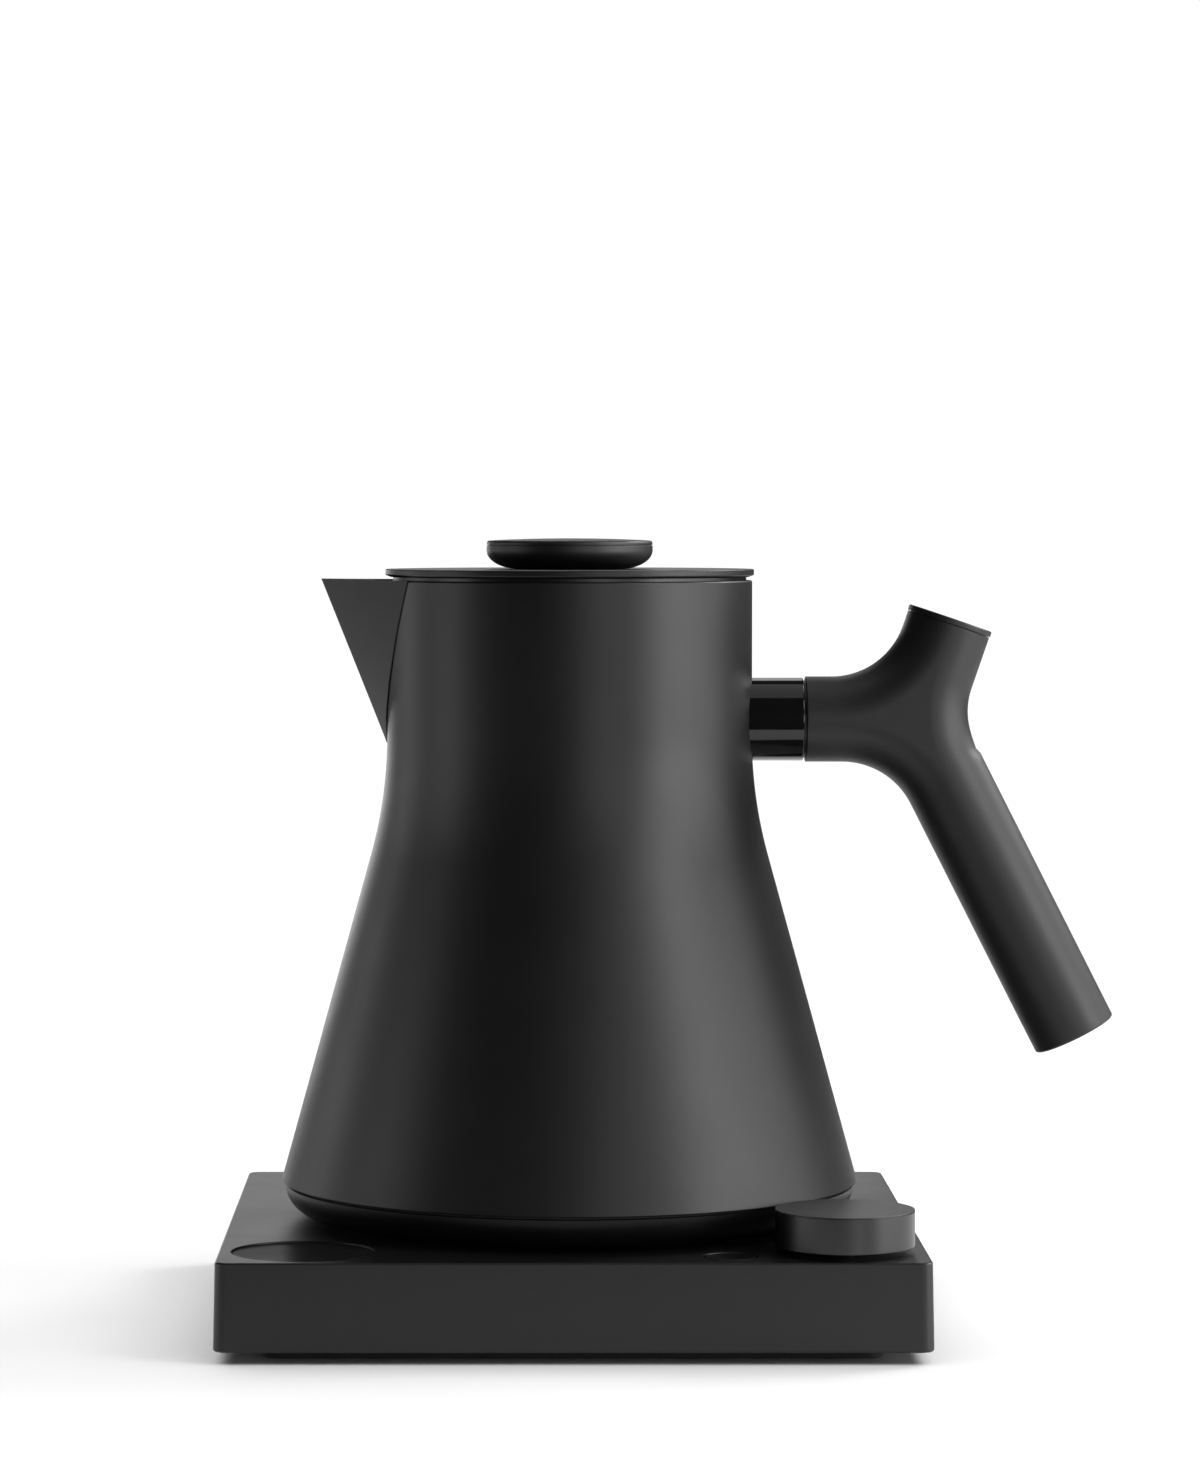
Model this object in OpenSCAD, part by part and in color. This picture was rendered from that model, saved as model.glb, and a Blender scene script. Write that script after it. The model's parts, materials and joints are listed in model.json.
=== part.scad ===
// Cordless electric pour-over kettle with a V-shaped beak spout, on a rectangular power base.
// Millimetres, +Z up. The origin is the centre of the base, on the table top.
// The handle points to +X, the spout to -X, and the controls are at the front, towards -Y.

/* [Power base] */
// Width of the base housing
base_w = 171; // [160:1:200]
// Depth of the base housing
base_d = 166; // [160:1:190]
// Height of the housing's side walls
base_h = 21.4; // [21:0.2:30]
// Height of the housing's lower edge above the table
base_lift = 3; // [2.6:0.1:5]
// Radius of the housing's corners in plan
base_corner = 3; // [2.5:0.5:8]
// Thickness of the housing's walls
base_wall = 2.2; // [1.6:0.1:2.4]
// Width of the foot under the base
plinth_w = 150; // [140:1:155]
// Depth of the foot under the base
plinth_d = 146; // [130:1:150]
// Height of the rubber foot ring
foot_h = 1.2; // [0.8:0.1:2]
// Inner diameter of the cord gland
cord_bore = 7; // [5:0.5:9]

/* [Controls] */
// Distance of the dial from the centre, to the right
dial_x = 65.3; // [60:0.1:66]
// Distance of the dial from the centre, to the front
dial_y = 63.9; // [63:0.1:66]
// Diameter of the dial
dial_d = 33.6; // [28:0.2:36]
// Height of the dial
dial_h = 9; // [7:0.1:12]
// Gap between the base and the dial
dial_gap = 1.4; // [1:0.1:3]
// Distance of the display from the centre, to the left
display_x = 64.9; // [60:0.1:66]
// Distance of the display from the centre, to the front
display_y = 63.1; // [60:0.1:64]
// Diameter of the display window
display_d = 34; // [28:0.2:36]
// Depth of the display window below the housing's top
display_recess = 0.4; // [0.2:0.1:0.8]
// Distance of the small button from the centre, to the right
button_x = 37.5; // [30:0.5:38]
// Distance of the small button from the centre, to the front
button_y = 71.4; // [68:0.1:72]
// Diameter of the small button
button_d = 12.3; // [9:0.1:12.5]

/* [Kettle body] */
// Diameter of the straight upper part
neck_d = 91.8; // [85:0.2:94]
// Height of the rim above the table
rim_z = 184.8; // [180:0.2:195]
// Height where the straight part ends
neck_z = 146; // [140:0.5:147]
// Radius of the curve between the straight part and the cone
blend_r = 114; // [60:2:160]
// Slope of the conical part, from the vertical
flare = 15.4; // [12:0.1:15.6]
// Height of the seam between the steel shell and the bottom cup
seam_z = 33.6; // [33:0.2:35]
// Sheet thickness of the shell
sheet = 0.9; // [0.7:0.1:1.2]
// Height of the water chamber's floor
floor_z = 39; // [38.8:0.1:42]

/* [Spout] */
// Height of the foot of the spout's front fold
spout_z = 143.4; // [140:0.1:145]
// How far the tip stands out from the straight part
spout_reach = 16.6; // [10:0.1:22]
// How far the tip stands above the rim
tip_rise = 0.4; // [0:0.2:3]
// Half of the spout's width at the rim, as an angle round the kettle
spout_spread = 30; // [25:1:40]

/* [Handle] */
// Distance from the kettle's axis to the point where the three arms meet
hub_x = 87.2; // [84:0.1:95]
// Height of that point above the table
hub_z = 149.8; // [148:0.2:156]
// Diameter of the three arms
arm_d = 21.5; // [20:0.1:24]
// Lean of the short upper arm, from the vertical
upper_lean = 18.9; // [10:0.1:25]
// Length of the upper arm, with its cap
upper_len = 26.9; // [26:0.1:32]
// Lean of the grip, from the vertical
grip_lean = 26.9; // [20:0.1:32]
// Length of the grip
grip_len = 89.2; // [75:0.1:105]
// Distance from the axis to the end of the collar
collar_end = 58.7; // [58:0.1:62]

/* [Lid] */
// Diameter of the lid disc
lid_d = 92.7; // [90:0.1:98]
// Thickness of the lid disc
lid_t = 2; // [1.8:0.1:3]
// Gap between the rim and the lid disc
lid_gap = 0.8; // [0.6:0.1:2]
// Diameter of the pull at its widest
pull_d = 41.8; // [36:0.2:50]
// Height of the pull, with its cap
pull_h = 7.7; // [7:0.1:10]

/* [Hidden] */
$fn = 96;
cut = 1;

// heights and sizes of the base
top_z = base_lift + base_h;
roof_z = top_z - base_wall;
plate_z = base_lift + 0.2;
plate_t = 2;
board_z = plate_z + plate_t + 1.2;
board_t = 1.6;
board_top = board_z + board_t;
screw_x = plinth_w / 2 - 15;
screw_y = plinth_d / 2 - 15;
cord_z = base_lift + 8.8;
window_t = 1.6;
window_z = top_z - display_recess - window_t;
dial_z = top_z + dial_gap;
shaft_d = 6;
shaft_z = board_top + 4.5;

// two-part round power connector: the base's boss and spigot, and the socket that drops over them
boss_d = 31.6;
boss_top = top_z + 3;
spigot_d = 16;
spigot_top = boss_top + 6;
cup_z = top_z + 0.8;
socket_d = 44;
socket_top = floor_z - 2;
socket_roof = spigot_top + 1.5;

// steel shell
neck_r = neck_d / 2;
cone_z = neck_z - blend_r * sin(flare);
cone_r = neck_r + blend_r * (1 - cos(flare));
foot_r = cone_r + (cone_z - seam_z) * tan(flare);
floor_r = cone_r + (cone_z - floor_z) * tan(flare) - sheet - 0.1;
spreader_z = floor_z - 3;
element_d = 6.4;
element_z = spreader_z - element_d / 2 - 0.1;
cup_curve = 8;
cup_wall = 2;
cup_r = foot_r - 0.9;
cup_screw_r = 54;
ledge_z = rim_z - 15;

// spout
spout_wall = 1.2;
spout_levels = 14;
back_steps = 12;
hole_d = 3.8;
hole_turn = 9;
hole_pitch = 6;
first_hole_z = spout_z + 9.5;

// handle
arm_r = arm_d / 2;
groove = 0.6;
cap_t = 1.4;
front_web_r = 19;
back_web_r = 17.3;
lower_web_r = 19.5;
stud_d = 10;
stud_head_d = 17;
stud_head_t = 7;
bolt_d = 4.8;
thread_d = 4.3;
weight_d = 14.4;
weight_start = 9;
weight_len = upper_len - weight_start - cap_t - 4;
butt_gap = 0.03;

// lid
lid_z = rim_z + lid_gap;
lid_chamfer = 0.5;
pull_z = lid_z + lid_t;
pull_r = pull_d / 2;
pull_cap_t = 1.6;
pull_swell = 8;
pull_rim_z = pull_z + pull_h - pull_cap_t - 0.2;
skirt_d = neck_d - 2 * sheet - 1.2;
skirt_wall = 1.5;

shell_black = "#232325";
soft_black = "#1b1b1d";
gloss_black = "#0c0c0d";
steel = "#b9bcc0";
brass = "#b08d57";

// a plate with four round corners, standing on z = 0
module rounded_plate(w, d, h, r) {
    linear_extrude(h) {
        square([w - 2 * r, d], center = true);
        square([w, d - 2 * r], center = true);
        for (sx = [-1, 1], sy = [-1, 1])
            translate([sx * (w / 2 - r), sy * (d / 2 - r)])
                circle(r, $fn = 32);
    }
}

// a ring or tube, standing on z = 0
module ring(d_out, d_in, h) {
    difference() {
        cylinder(d = d_out, h = h);
        translate([0, 0, -cut])
            cylinder(d = d_in, h = h + 2 * cut);
    }
}

// places its children at the four screws of the base; the front pair sits between the controls
module at_base_screws() {
    for (side = [-1, 1]) {
        translate([side * screw_x, screw_y, 0])
            children();
        translate([side * screw_x / 2, -screw_y, 0])
            children();
    }
}

// places its children at the three screws of the bottom cup
module at_cup_screws() {
    for (a = [30, 150, 270])
        rotate([0, 0, a])
            translate([cup_screw_r, 0, 0])
                children();
}

// ---------------------------------------------------------------- power base

module base_housing() {
    color(shell_black)
    difference() {
        union() {
            difference() {
                translate([0, 0, base_lift])
                    rounded_plate(base_w, base_d, base_h, base_corner);
                translate([0, 0, base_lift - cut])
                    rounded_plate(base_w - 2 * base_wall, base_d - 2 * base_wall,
                        roof_z - base_lift + cut, base_corner - base_wall + 0.2);
            }
            at_base_screws()
                translate([0, 0, plate_z + plate_t + 0.1])
                    cylinder(d = 7, h = roof_z - plate_z - plate_t);
            translate([-display_x, -display_y, window_z - 2])
                cylinder(d = display_d + 4, h = top_z - window_z + 1);
        }
        at_base_screws()
            translate([0, 0, plate_z])
                cylinder(d = 3.1, h = 9);
        translate([0, 0, roof_z - cut])
            cylinder(d = boss_d + 0.2, h = base_wall + 2 * cut);
        translate([dial_x, -dial_y, roof_z - cut])
            cylinder(d = 9.2, h = base_wall + 2 * cut);
        translate([button_x, -button_y, roof_z - cut])
            cylinder(d = button_d + 0.7, h = base_wall + 2 * cut);
        translate([-display_x, -display_y, window_z])
            cylinder(d = display_d + 0.1, h = base_wall + cut);
        translate([-display_x, -display_y, window_z - 3])
            cylinder(d = display_d - 4, h = 4);
        translate([0, base_d / 2 - 2 * base_wall, cord_z])
            rotate([-90, 0, 0])
                cylinder(d = cord_bore + 5, h = 3 * base_wall);
    }
}

module bottom_plate() {
    color(soft_black)
    difference() {
        union() {
            translate([0, 0, foot_h])
                rounded_plate(plinth_w, plinth_d, plate_z - foot_h, 5);
            translate([0, 0, plate_z])
                rounded_plate(base_w - 2 * base_wall - 0.4, base_d - 2 * base_wall - 0.4,
                    plate_t, 1);
            for (x = [-60, 0, 60], y = [-74, -54])
                translate([x, y, plate_z + plate_t - 0.1])
                    cylinder(d = 5, h = board_z - plate_z - plate_t + 0.1);
            for (x = [-38, 38], y = [15, 55])
                translate([x, y, plate_z + plate_t - 0.1])
                    cylinder(d = 5, h = board_z - plate_z - plate_t + 0.1);
        }
        at_base_screws() {
            translate([0, 0, -cut])
                cylinder(d = 3.4, h = board_z + cut);
            translate([0, 0, -cut])
                cylinder(d = 6.6, h = foot_h + 1.9 + cut);
        }
    }
}

module foot_ring() {
    color("#141415")
    difference() {
        rounded_plate(plinth_w - 1, plinth_d - 1, foot_h, 4.5);
        translate([0, 0, -cut])
            rounded_plate(plinth_w - 15, plinth_d - 15, foot_h + 2 * cut, 3);
    }
}

module base_screws() {
    color(steel)
    at_base_screws() {
        translate([0, 0, foot_h])
            cylinder(d = 6, h = 1.9);
        translate([0, 0, foot_h + 1.9])
            cylinder(d = 3, h = 9);
    }
}

module cord_gland() {
    color("#161617")
    translate([0, base_d / 2, cord_z])
        rotate([-90, 0, 0])
            difference() {
                union() {
                    translate([0, 0, -6])
                        cylinder(d = cord_bore + 4.8, h = 6);
                    cylinder(d = cord_bore + 7, h = 2);
                    translate([0, 0, -6])
                        cylinder(d = cord_bore + 5.8, h = 6 - base_wall);
                }
                translate([0, 0, -6 - cut])
                    cylinder(d = cord_bore, h = 8 + 2 * cut);
            }
}

module base_connector() {
    color(gloss_black)
    difference() {
        union() {
            translate([0, 0, roof_z - 5])
                cylinder(d = boss_d + 8, h = 5);
            translate([0, 0, roof_z - cut])
                cylinder(d = boss_d, h = boss_top - roof_z + cut);
            translate([0, 0, boss_top - cut])
                cylinder(d = spigot_d, h = spigot_top - boss_top + cut);
        }
        translate([0, 0, roof_z - 6])
            cylinder(d = 5.2, h = spigot_top - roof_z + 6 + cut);
        translate([0, 0, boss_top + 1])
            ring(spigot_d + 1, spigot_d - 1, 3);
        translate([0, 0, boss_top - 1])
            ring(25, 22, 1 + cut);
    }
}

module connector_contacts() {
    color(brass) {
        translate([0, 0, roof_z - 4.5])
            cylinder(d = 2.4, h = spigot_top - roof_z + 3.5);
        translate([0, 0, roof_z - 4.5])
            cylinder(d = 5.1, h = 2);
        translate([0, 0, boss_top + 1])
            ring(spigot_d + 0.6, spigot_d - 1, 3);
        translate([0, 0, boss_top - 1])
            ring(25, 22, 1.4);
    }
}

module display_window() {
    color("#0a0b0d")
    translate([-display_x, -display_y, window_z])
        cylinder(d = display_d, h = window_t);
}

module display_module() {
    color("#15352a") {
        translate([-display_x, -display_y, board_top])
            cylinder(d = display_d - 10, h = window_z - 4.6 - board_top);
        translate([-display_x, -display_y, window_z - 4.6])
            cylinder(d = display_d - 5, h = 4.5);
    }
}

module control_board() {
    color("#173d2c")
    difference() {
        translate([-79, -78, board_z])
            cube([158, 28, board_t]);
        at_base_screws()
            translate([0, 0, board_z - cut])
                cylinder(d = 8, h = board_t + 2 * cut);
    }
}

module power_board() {
    color("#173d2c") {
        translate([-45, 10, board_z])
            cube([90, 50, board_t]);
        translate([-40, 26, board_top])
            cube([24, 20, 9]);
        translate([8, 40, board_top])
            cylinder(d = 9, h = 9.5);
    }
}

module relay() {
    color("#1d2f5c")
    translate([22, 22, board_top])
        cube([20, 16, 10]);
}

module encoder_body() {
    color("#3a3c3f")
    translate([dial_x, -dial_y, 0])
        difference() {
            union() {
                translate([-7, -7, board_top])
                    cube([14, 14, roof_z - board_top - 0.3]);
                translate([0, 0, roof_z - cut])
                    cylinder(d = 8.8, h = base_wall + cut + 0.3);
            }
            translate([0, 0, shaft_z - 1])
                cylinder(d = shaft_d + 0.7, h = base_h);
            translate([0, 0, board_top - cut])
                cylinder(d = 5.2, h = shaft_z);
        }
}

module button_switch() {
    color("#2a2b2d")
    translate([button_x, -button_y, board_top]) {
        translate([-4, -4, 0])
            cube([8, 8, 6]);
        cylinder(d = 3.4, h = roof_z - board_top - 4.4);
    }
}

// ---------------------------------------------------------------- controls

module encoder_plunger() {
    color("#d8d8d6")
    translate([dial_x, -dial_y, shaft_z - 3.2])
        cylinder(d = 4.4, h = 3.1);
}

module dial_body() {
    color(shell_black)
    translate([dial_x, -dial_y, dial_z])
        difference() {
            cylinder(d = dial_d, h = dial_h - 0.8);
            translate([0, 0, -cut])
                ring(dial_d - 4, 11, dial_h - 3.2 + cut);
            translate([0, 0, -cut])
                cylinder(d = shaft_d + 0.1, h = dial_h - 3.2 + cut);
            translate([0, 0, -cut])
                cylinder(d = 12, h = 1.6 + cut);
        }
}

module dial_cap() {
    color("#2b2b2d")
    translate([dial_x, -dial_y, dial_z + dial_h - 0.8]) {
        cylinder(d = dial_d, h = 0.4);
        translate([0, 0, 0.4])
            cylinder(d1 = dial_d, d2 = dial_d - 0.8, h = 0.4);
    }
}

module dial_shaft() {
    color(steel)
    translate([dial_x, -dial_y, shaft_z])
        cylinder(d = shaft_d, h = dial_z + dial_h - 3.3 - shaft_z);
}

module menu_button() {
    color(shell_black)
    translate([button_x, -button_y, 0])
        difference() {
            union() {
                translate([0, 0, roof_z - 1.2])
                    cylinder(d = button_d, h = top_z - roof_z + 1.2);
                translate([0, 0, roof_z - 1.4])
                    cylinder(d = button_d + 2.6, h = 1.2);
                translate([0, 0, roof_z - 3.2])
                    cylinder(d = 4, h = 2.4);
            }
            translate([0, 0, top_z + 32])
                sphere(r = 32.4, $fn = 160);
        }
}

// ---------------------------------------------------------------- kettle: power socket

module kettle_socket() {
    color(gloss_black)
    difference() {
        union() {
            translate([0, 0, cup_z + 0.2])
                cylinder(d = socket_d, h = socket_top - cup_z - 0.2);
            translate([0, 0, cup_z + cup_wall + 0.5])
                cylinder(d = socket_d + 8, h = 1.6);
        }
        translate([0, 0, top_z])
            cylinder(d = boss_d + 1.6, h = socket_roof - top_z);
    }
}

module socket_contacts() {
    color(brass) {
        translate([0, 0, boss_top + 0.5])
            ring(4.4, 3.2, socket_roof - boss_top - 0.5);
        translate([0, 0, boss_top + 1])
            ring(19.4, 17.6, socket_roof - boss_top - 1);
        translate([0, 0, boss_top + 0.9])
            ring(24.6, 22.4, socket_roof - boss_top - 0.9);
    }
}

// ---------------------------------------------------------------- kettle: steel body

// point on the outside of the curve between the straight part and the cone
function blend_point(a) = [neck_r + blend_r * (1 - cos(a)), neck_z - blend_r * sin(a)];

// outline of the shell in section, moved inwards by t, from the rim down to the seam
function shell_line(t) = concat(
    [[neck_r - t, rim_z]],
    [for (i = [0 : 8]) blend_point(flare * i / 8) - [t, 0]],
    [[foot_r - t, seam_z]]);

function reversed(list) = [for (i = [len(list) - 1 : -1 : 0]) list[i]];

// the whole body filled in and grown by a small gap, to cut the pieces that butt against it
module body_outline(gap) {
    rotate_extrude($fn = 128)
        polygon(concat([[0, rim_z]], shell_line(-gap), [[0, seam_z]]));
}

module body_shell() {
    color(shell_black)
    difference() {
        union() {
            rotate_extrude($fn = 128)
                polygon(concat(shell_line(0), reversed(shell_line(sheet))));
            translate([0, 0, ledge_z])
                ring(neck_d - sheet, neck_d - 2 * sheet - 5, 1);
        }
        // three rows of pouring holes behind the spout
        for (row = [0 : 2], i = [0 : row + 1])
            rotate([0, 0, 180 + hole_turn * (i - (row + 1) / 2)])
                translate([neck_r - 2 * sheet, 0, first_hole_z + hole_pitch * row])
                    rotate([0, 90, 0])
                        cylinder(d = hole_d, h = 4 * sheet, $fn = 48);
    }
}

// distance of the spout's front fold from the axis, from the foot of the fold (u = 0) to its tip
function fold_r(u) = neck_r + spout_reach * u;

// half of the angle round the body that the spout covers at the same height
function joint_angle(u) = spout_spread * pow(u, 0.86);

// radius of the points behind the spout; the straight steps between them touch the body's surface
function joint_r(u) = neck_r / cos(joint_angle(u) / back_steps) + 0.02;

// one level of the spout in plan: the fold, then points along the body from one joint to the other
function wedge_level(u) = concat(
    [[-fold_r(u), 0, spout_z + (rim_z + tip_rise - spout_z) * u]],
    [for (i = [0 : back_steps]) let (a = joint_angle(u) * (2 * i / back_steps - 1))
        [-joint_r(u) * cos(a), joint_r(u) * sin(a), spout_z + (rim_z - spout_z) * u]]);

// solid wedge whose two sides run from the front fold to the joint with the body
module spout_wedge(u_top) {
    n = spout_levels;
    m = back_steps + 2;
    points = [for (k = [0 : n]) each wedge_level(0.01 + (u_top - 0.01) * k / n)];
    sides = [for (k = [0 : n - 1], i = [0 : m - 1]) each [
        [m * k + i, m * k + m + i, m * k + (i + 1) % m],
        [m * k + (i + 1) % m, m * k + m + i, m * k + m + (i + 1) % m]]];
    ends = [for (i = [1 : m - 2]) each [[0, i, i + 1], [m * n, m * n + i + 1, m * n + i]]];
    polyhedron(points, concat(sides, ends), convexity = 4);
}

module spout() {
    color(shell_black)
    difference() {
        spout_wedge(1);
        translate([spout_wall, 0, 0])
            spout_wedge(1.1);
    }
}

module floor_plate() {
    color(steel)
    difference() {
        translate([0, 0, floor_z])
            cylinder(r1 = floor_r, r2 = floor_r - 0.9 * tan(flare), h = 0.9, $fn = 128);
        translate([0, 32, floor_z - cut])
            cylinder(d = 6.2, h = 4);
    }
}

module heat_spreader() {
    color("#c9cbcd")
    difference() {
        translate([0, 0, spreader_z])
            ring(124, socket_d + 6, floor_z - spreader_z);
        translate([0, 32, spreader_z - cut])
            cylinder(d = 8, h = 6);
        at_cup_screws()
            translate([0, 0, spreader_z - cut])
                cylinder(d = 3, h = 2.4 + cut);
    }
}

module heating_element() {
    color("#8d9094")
    intersection() {
        translate([0, 0, element_z])
            rotate_extrude()
                translate([44, 0])
                    circle(d = element_d, $fn = 32);
        union() {
            translate([-60, -60, cup_z])
                cube([120, 98, 30]);
            translate([8, 30, cup_z])
                cube([60, 30, 30]);
            translate([-68, 30, cup_z])
                cube([60, 30, 30]);
        }
    }
}

module temperature_probe() {
    color(steel)
    translate([0, 32, 0]) {
        translate([0, 0, floor_z - 6])
            cylinder(d = 4, h = 14);
        translate([0, 0, floor_z - 0.5])
            cylinder(d = 6, h = 3);
    }
}

module boil_dry_switch() {
    color("#c9b27c")
    translate([0, -32, spreader_z - 5.1])
        cylinder(d = 12, h = 5);
}

// cup whose outside curves in along a quarter circle
module bottom_cup() {
    color(soft_black)
    difference() {
        rotate_extrude($fn = 128)
            polygon(concat(
                [[cup_r - cup_wall, cup_z + cup_curve], [cup_r, cup_z + cup_curve]],
                [for (a = [7.5 : 7.5 : 90])
                    [cup_r - cup_curve * (1 - cos(a)), cup_z + cup_curve * (1 - sin(a))]],
                [[socket_d / 2 + 0.6, cup_z], [socket_d / 2 + 0.6, cup_z + cup_wall]],
                [for (a = [90 : -15 : 15])
                    [cup_r - cup_curve + (cup_curve - cup_wall) * cos(a),
                     cup_z + cup_curve - (cup_curve - cup_wall) * sin(a)]]));
        at_cup_screws() {
            translate([0, 0, cup_z - cut])
                cylinder(d = 3.4, h = 6);
            translate([0, 0, cup_z - cut])
                cylinder(d = 6, h = 1.2 + cut);
        }
    }
}

module base_seal() {
    color("#101011")
    translate([0, 0, cup_z + cup_curve])
        ring(2 * foot_r - 2.4, 2 * foot_r - 6, seam_z - cup_z - cup_curve);
}

module cup_screws() {
    color(steel)
    at_cup_screws() {
        translate([0, 0, cup_z + 0.1])
            cylinder(d = 5.6, h = 1.1);
        translate([0, 0, cup_z + 0.1])
            cylinder(d = 2.9, h = spreader_z + 2 - cup_z);
    }
}

// ---------------------------------------------------------------- handle

// places its children on the hub with +Z along an arm that leans by this angle
module along_arm(lean) {
    translate([hub_x, 0, hub_z])
        rotate([0, lean, 0])
            children();
}

// fills the inner corner between two arms with a web that has a round edge
module arm_web(lean_a, lean_b, edge_r) {
    half = (lean_b - lean_a) / 2;
    reach = (arm_r + edge_r) / tan(half);
    far = (arm_r + edge_r) / sin(half);
    middle = (lean_a + lean_b) / 2;
    translate([hub_x, 0, hub_z])
        rotate([90, 0, 0])
            linear_extrude(arm_r * 1.3, center = true)
                difference() {
                    polygon([[0, 0],
                        reach * [sin(lean_a), cos(lean_a)],
                        far * [sin(middle), cos(middle)],
                        reach * [sin(lean_b), cos(lean_b)]]);
                    translate(far * [sin(middle), cos(middle)])
                        circle(edge_r);
                }
}

module handle_stud() {
    color(steel)
    difference() {
        translate([neck_r - 4, 0, hub_z])
            rotate([0, 90, 0]) {
                cylinder(d = stud_d, h = hub_x - neck_r + 8);
                cylinder(d = stud_head_d, h = stud_head_t);
            }
        body_outline(butt_gap);
        along_arm(upper_lean)
            translate([0, 0, -3])
                cylinder(d = thread_d + 0.1, h = 12);
    }
}

module handle_collar() {
    color(gloss_black)
    difference() {
        translate([neck_r - 4, 0, hub_z])
            rotate([0, 90, 0])
                cylinder(d = arm_d - 0.6, h = collar_end - neck_r + 4);
        body_outline(butt_gap);
        translate([neck_r - 4, 0, hub_z])
            rotate([0, 90, 0]) {
                cylinder(d = stud_d + 0.2, h = 40);
                cylinder(d = stud_head_d + 0.2, h = stud_head_t + 0.1);
            }
    }
}

module handle_body() {
    color(soft_black)
    difference() {
        union() {
            translate([collar_end + groove, 0, hub_z])
                rotate([0, 90, 0])
                    cylinder(d = arm_d, h = hub_x - collar_end - groove);
            translate([collar_end + 0.05, 0, hub_z])
                rotate([0, 90, 0])
                    cylinder(d = arm_d - 2, h = groove + cut);
            translate([hub_x, 0, hub_z])
                sphere(d = arm_d + 0.4);
            along_arm(upper_lean)
                cylinder(d = arm_d, h = upper_len - cap_t);
            along_arm(180 - grip_lean)
                cylinder(d = arm_d, h = grip_len);
            arm_web(-90, upper_lean, front_web_r);
            arm_web(upper_lean, 180 - grip_lean, back_web_r);
            arm_web(180 - grip_lean, 270, lower_web_r);
        }
        translate([collar_end - cut, 0, hub_z])
            rotate([0, 90, 0])
                cylinder(d = stud_d + 0.2, h = hub_x - collar_end + 5.2 + cut);
        along_arm(upper_lean) {
            translate([0, 0, weight_start])
                cylinder(d = weight_d + 0.2, h = upper_len);
            cylinder(d = bolt_d + 0.6, h = weight_start + cut);
        }
    }
}

module counterweight() {
    color("#77797c")
    along_arm(upper_lean)
        translate([0, 0, weight_start + 0.1])
            ring(weight_d, bolt_d + 0.4, weight_len);
}

module handle_bolt() {
    color(steel)
    along_arm(upper_lean) {
        translate([0, 0, -2.8])
            cylinder(d = thread_d, h = 8.4);
        translate([0, 0, 5.6])
            cylinder(d = bolt_d, h = weight_start + weight_len - 5.4);
        translate([0, 0, weight_start + weight_len + 0.2])
            cylinder(d = 8.5, h = 3.2);
    }
}

module handle_cap() {
    color(soft_black)
    along_arm(upper_lean) {
        translate([0, 0, upper_len - cap_t + 0.2])
            cylinder(d = arm_d + 0.4, h = cap_t - 0.2);
        translate([0, 0, upper_len - cap_t - 2])
            ring(weight_d, weight_d - 3, 2.3);
    }
}

// ---------------------------------------------------------------- lid

module lid_disc() {
    color(shell_black)
    difference() {
        union() {
            translate([0, 0, lid_z])
                cylinder(d1 = lid_d - 2.8, d2 = lid_d, h = lid_chamfer);
            translate([0, 0, lid_z + lid_chamfer])
                cylinder(d = lid_d, h = lid_t - lid_chamfer);
        }
        translate([0, 0, lid_z - cut])
            cylinder(d = 4.4, h = lid_t + 2 * cut);
    }
}

module lid_skirt() {
    color("#47484b")
    translate([0, 0, ledge_z + 1.1])
        difference() {
            cylinder(d = skirt_d, h = lid_z - ledge_z - 1.1);
            translate([0, 0, -cut])
                cylinder(d = skirt_d - 2 * skirt_wall, h = lid_z - ledge_z);
            // waist that the gasket sits in
            translate([0, 0, 3])
                ring(skirt_d + 2, skirt_d - 1.6, 4);
        }
}

module lid_gasket() {
    color("#2f3032")
    translate([0, 0, ledge_z + 4.1]) {
        ring(skirt_d, skirt_d - 1.6, 4);
        for (z = [0.4, 2.8])
            translate([0, 0, z])
                ring(skirt_d + 0.9, skirt_d - 1, 0.8);
    }
}

// bowl with a flat bottom, whose sides swell outwards along a quarter ellipse
module lid_pull() {
    side_z = pull_rim_z - 1.2;
    color(shell_black)
    difference() {
        rotate_extrude()
            polygon(concat(
                [[0, pull_z]],
                [for (a = [-90 : 7.5 : 0])
                    [pull_r - pull_swell * (1 - cos(a)), side_z + (side_z - pull_z) * sin(a)]],
                [[pull_r, pull_rim_z], [0, pull_rim_z]]));
        translate([0, 0, pull_z + 1.4])
            ring(pull_d - 12, 9, 6);
        translate([0, 0, pull_z - cut])
            cylinder(d = 3.1, h = 4 + cut);
    }
}

module lid_pull_cap() {
    color(soft_black)
    translate([0, 0, pull_rim_z + 0.2]) {
        cylinder(d = pull_d - 0.4, h = pull_cap_t - 0.6);
        translate([0, 0, pull_cap_t - 0.6])
            cylinder(d1 = pull_d - 0.4, d2 = pull_d - 2, h = 0.6);
    }
}

module lid_screw() {
    color(steel) {
        translate([0, 0, lid_z - 2])
            cylinder(d = 8, h = 1.9);
        translate([0, 0, lid_z - 0.2])
            cylinder(d = 3, h = lid_t + 3.8);
    }
}

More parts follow.
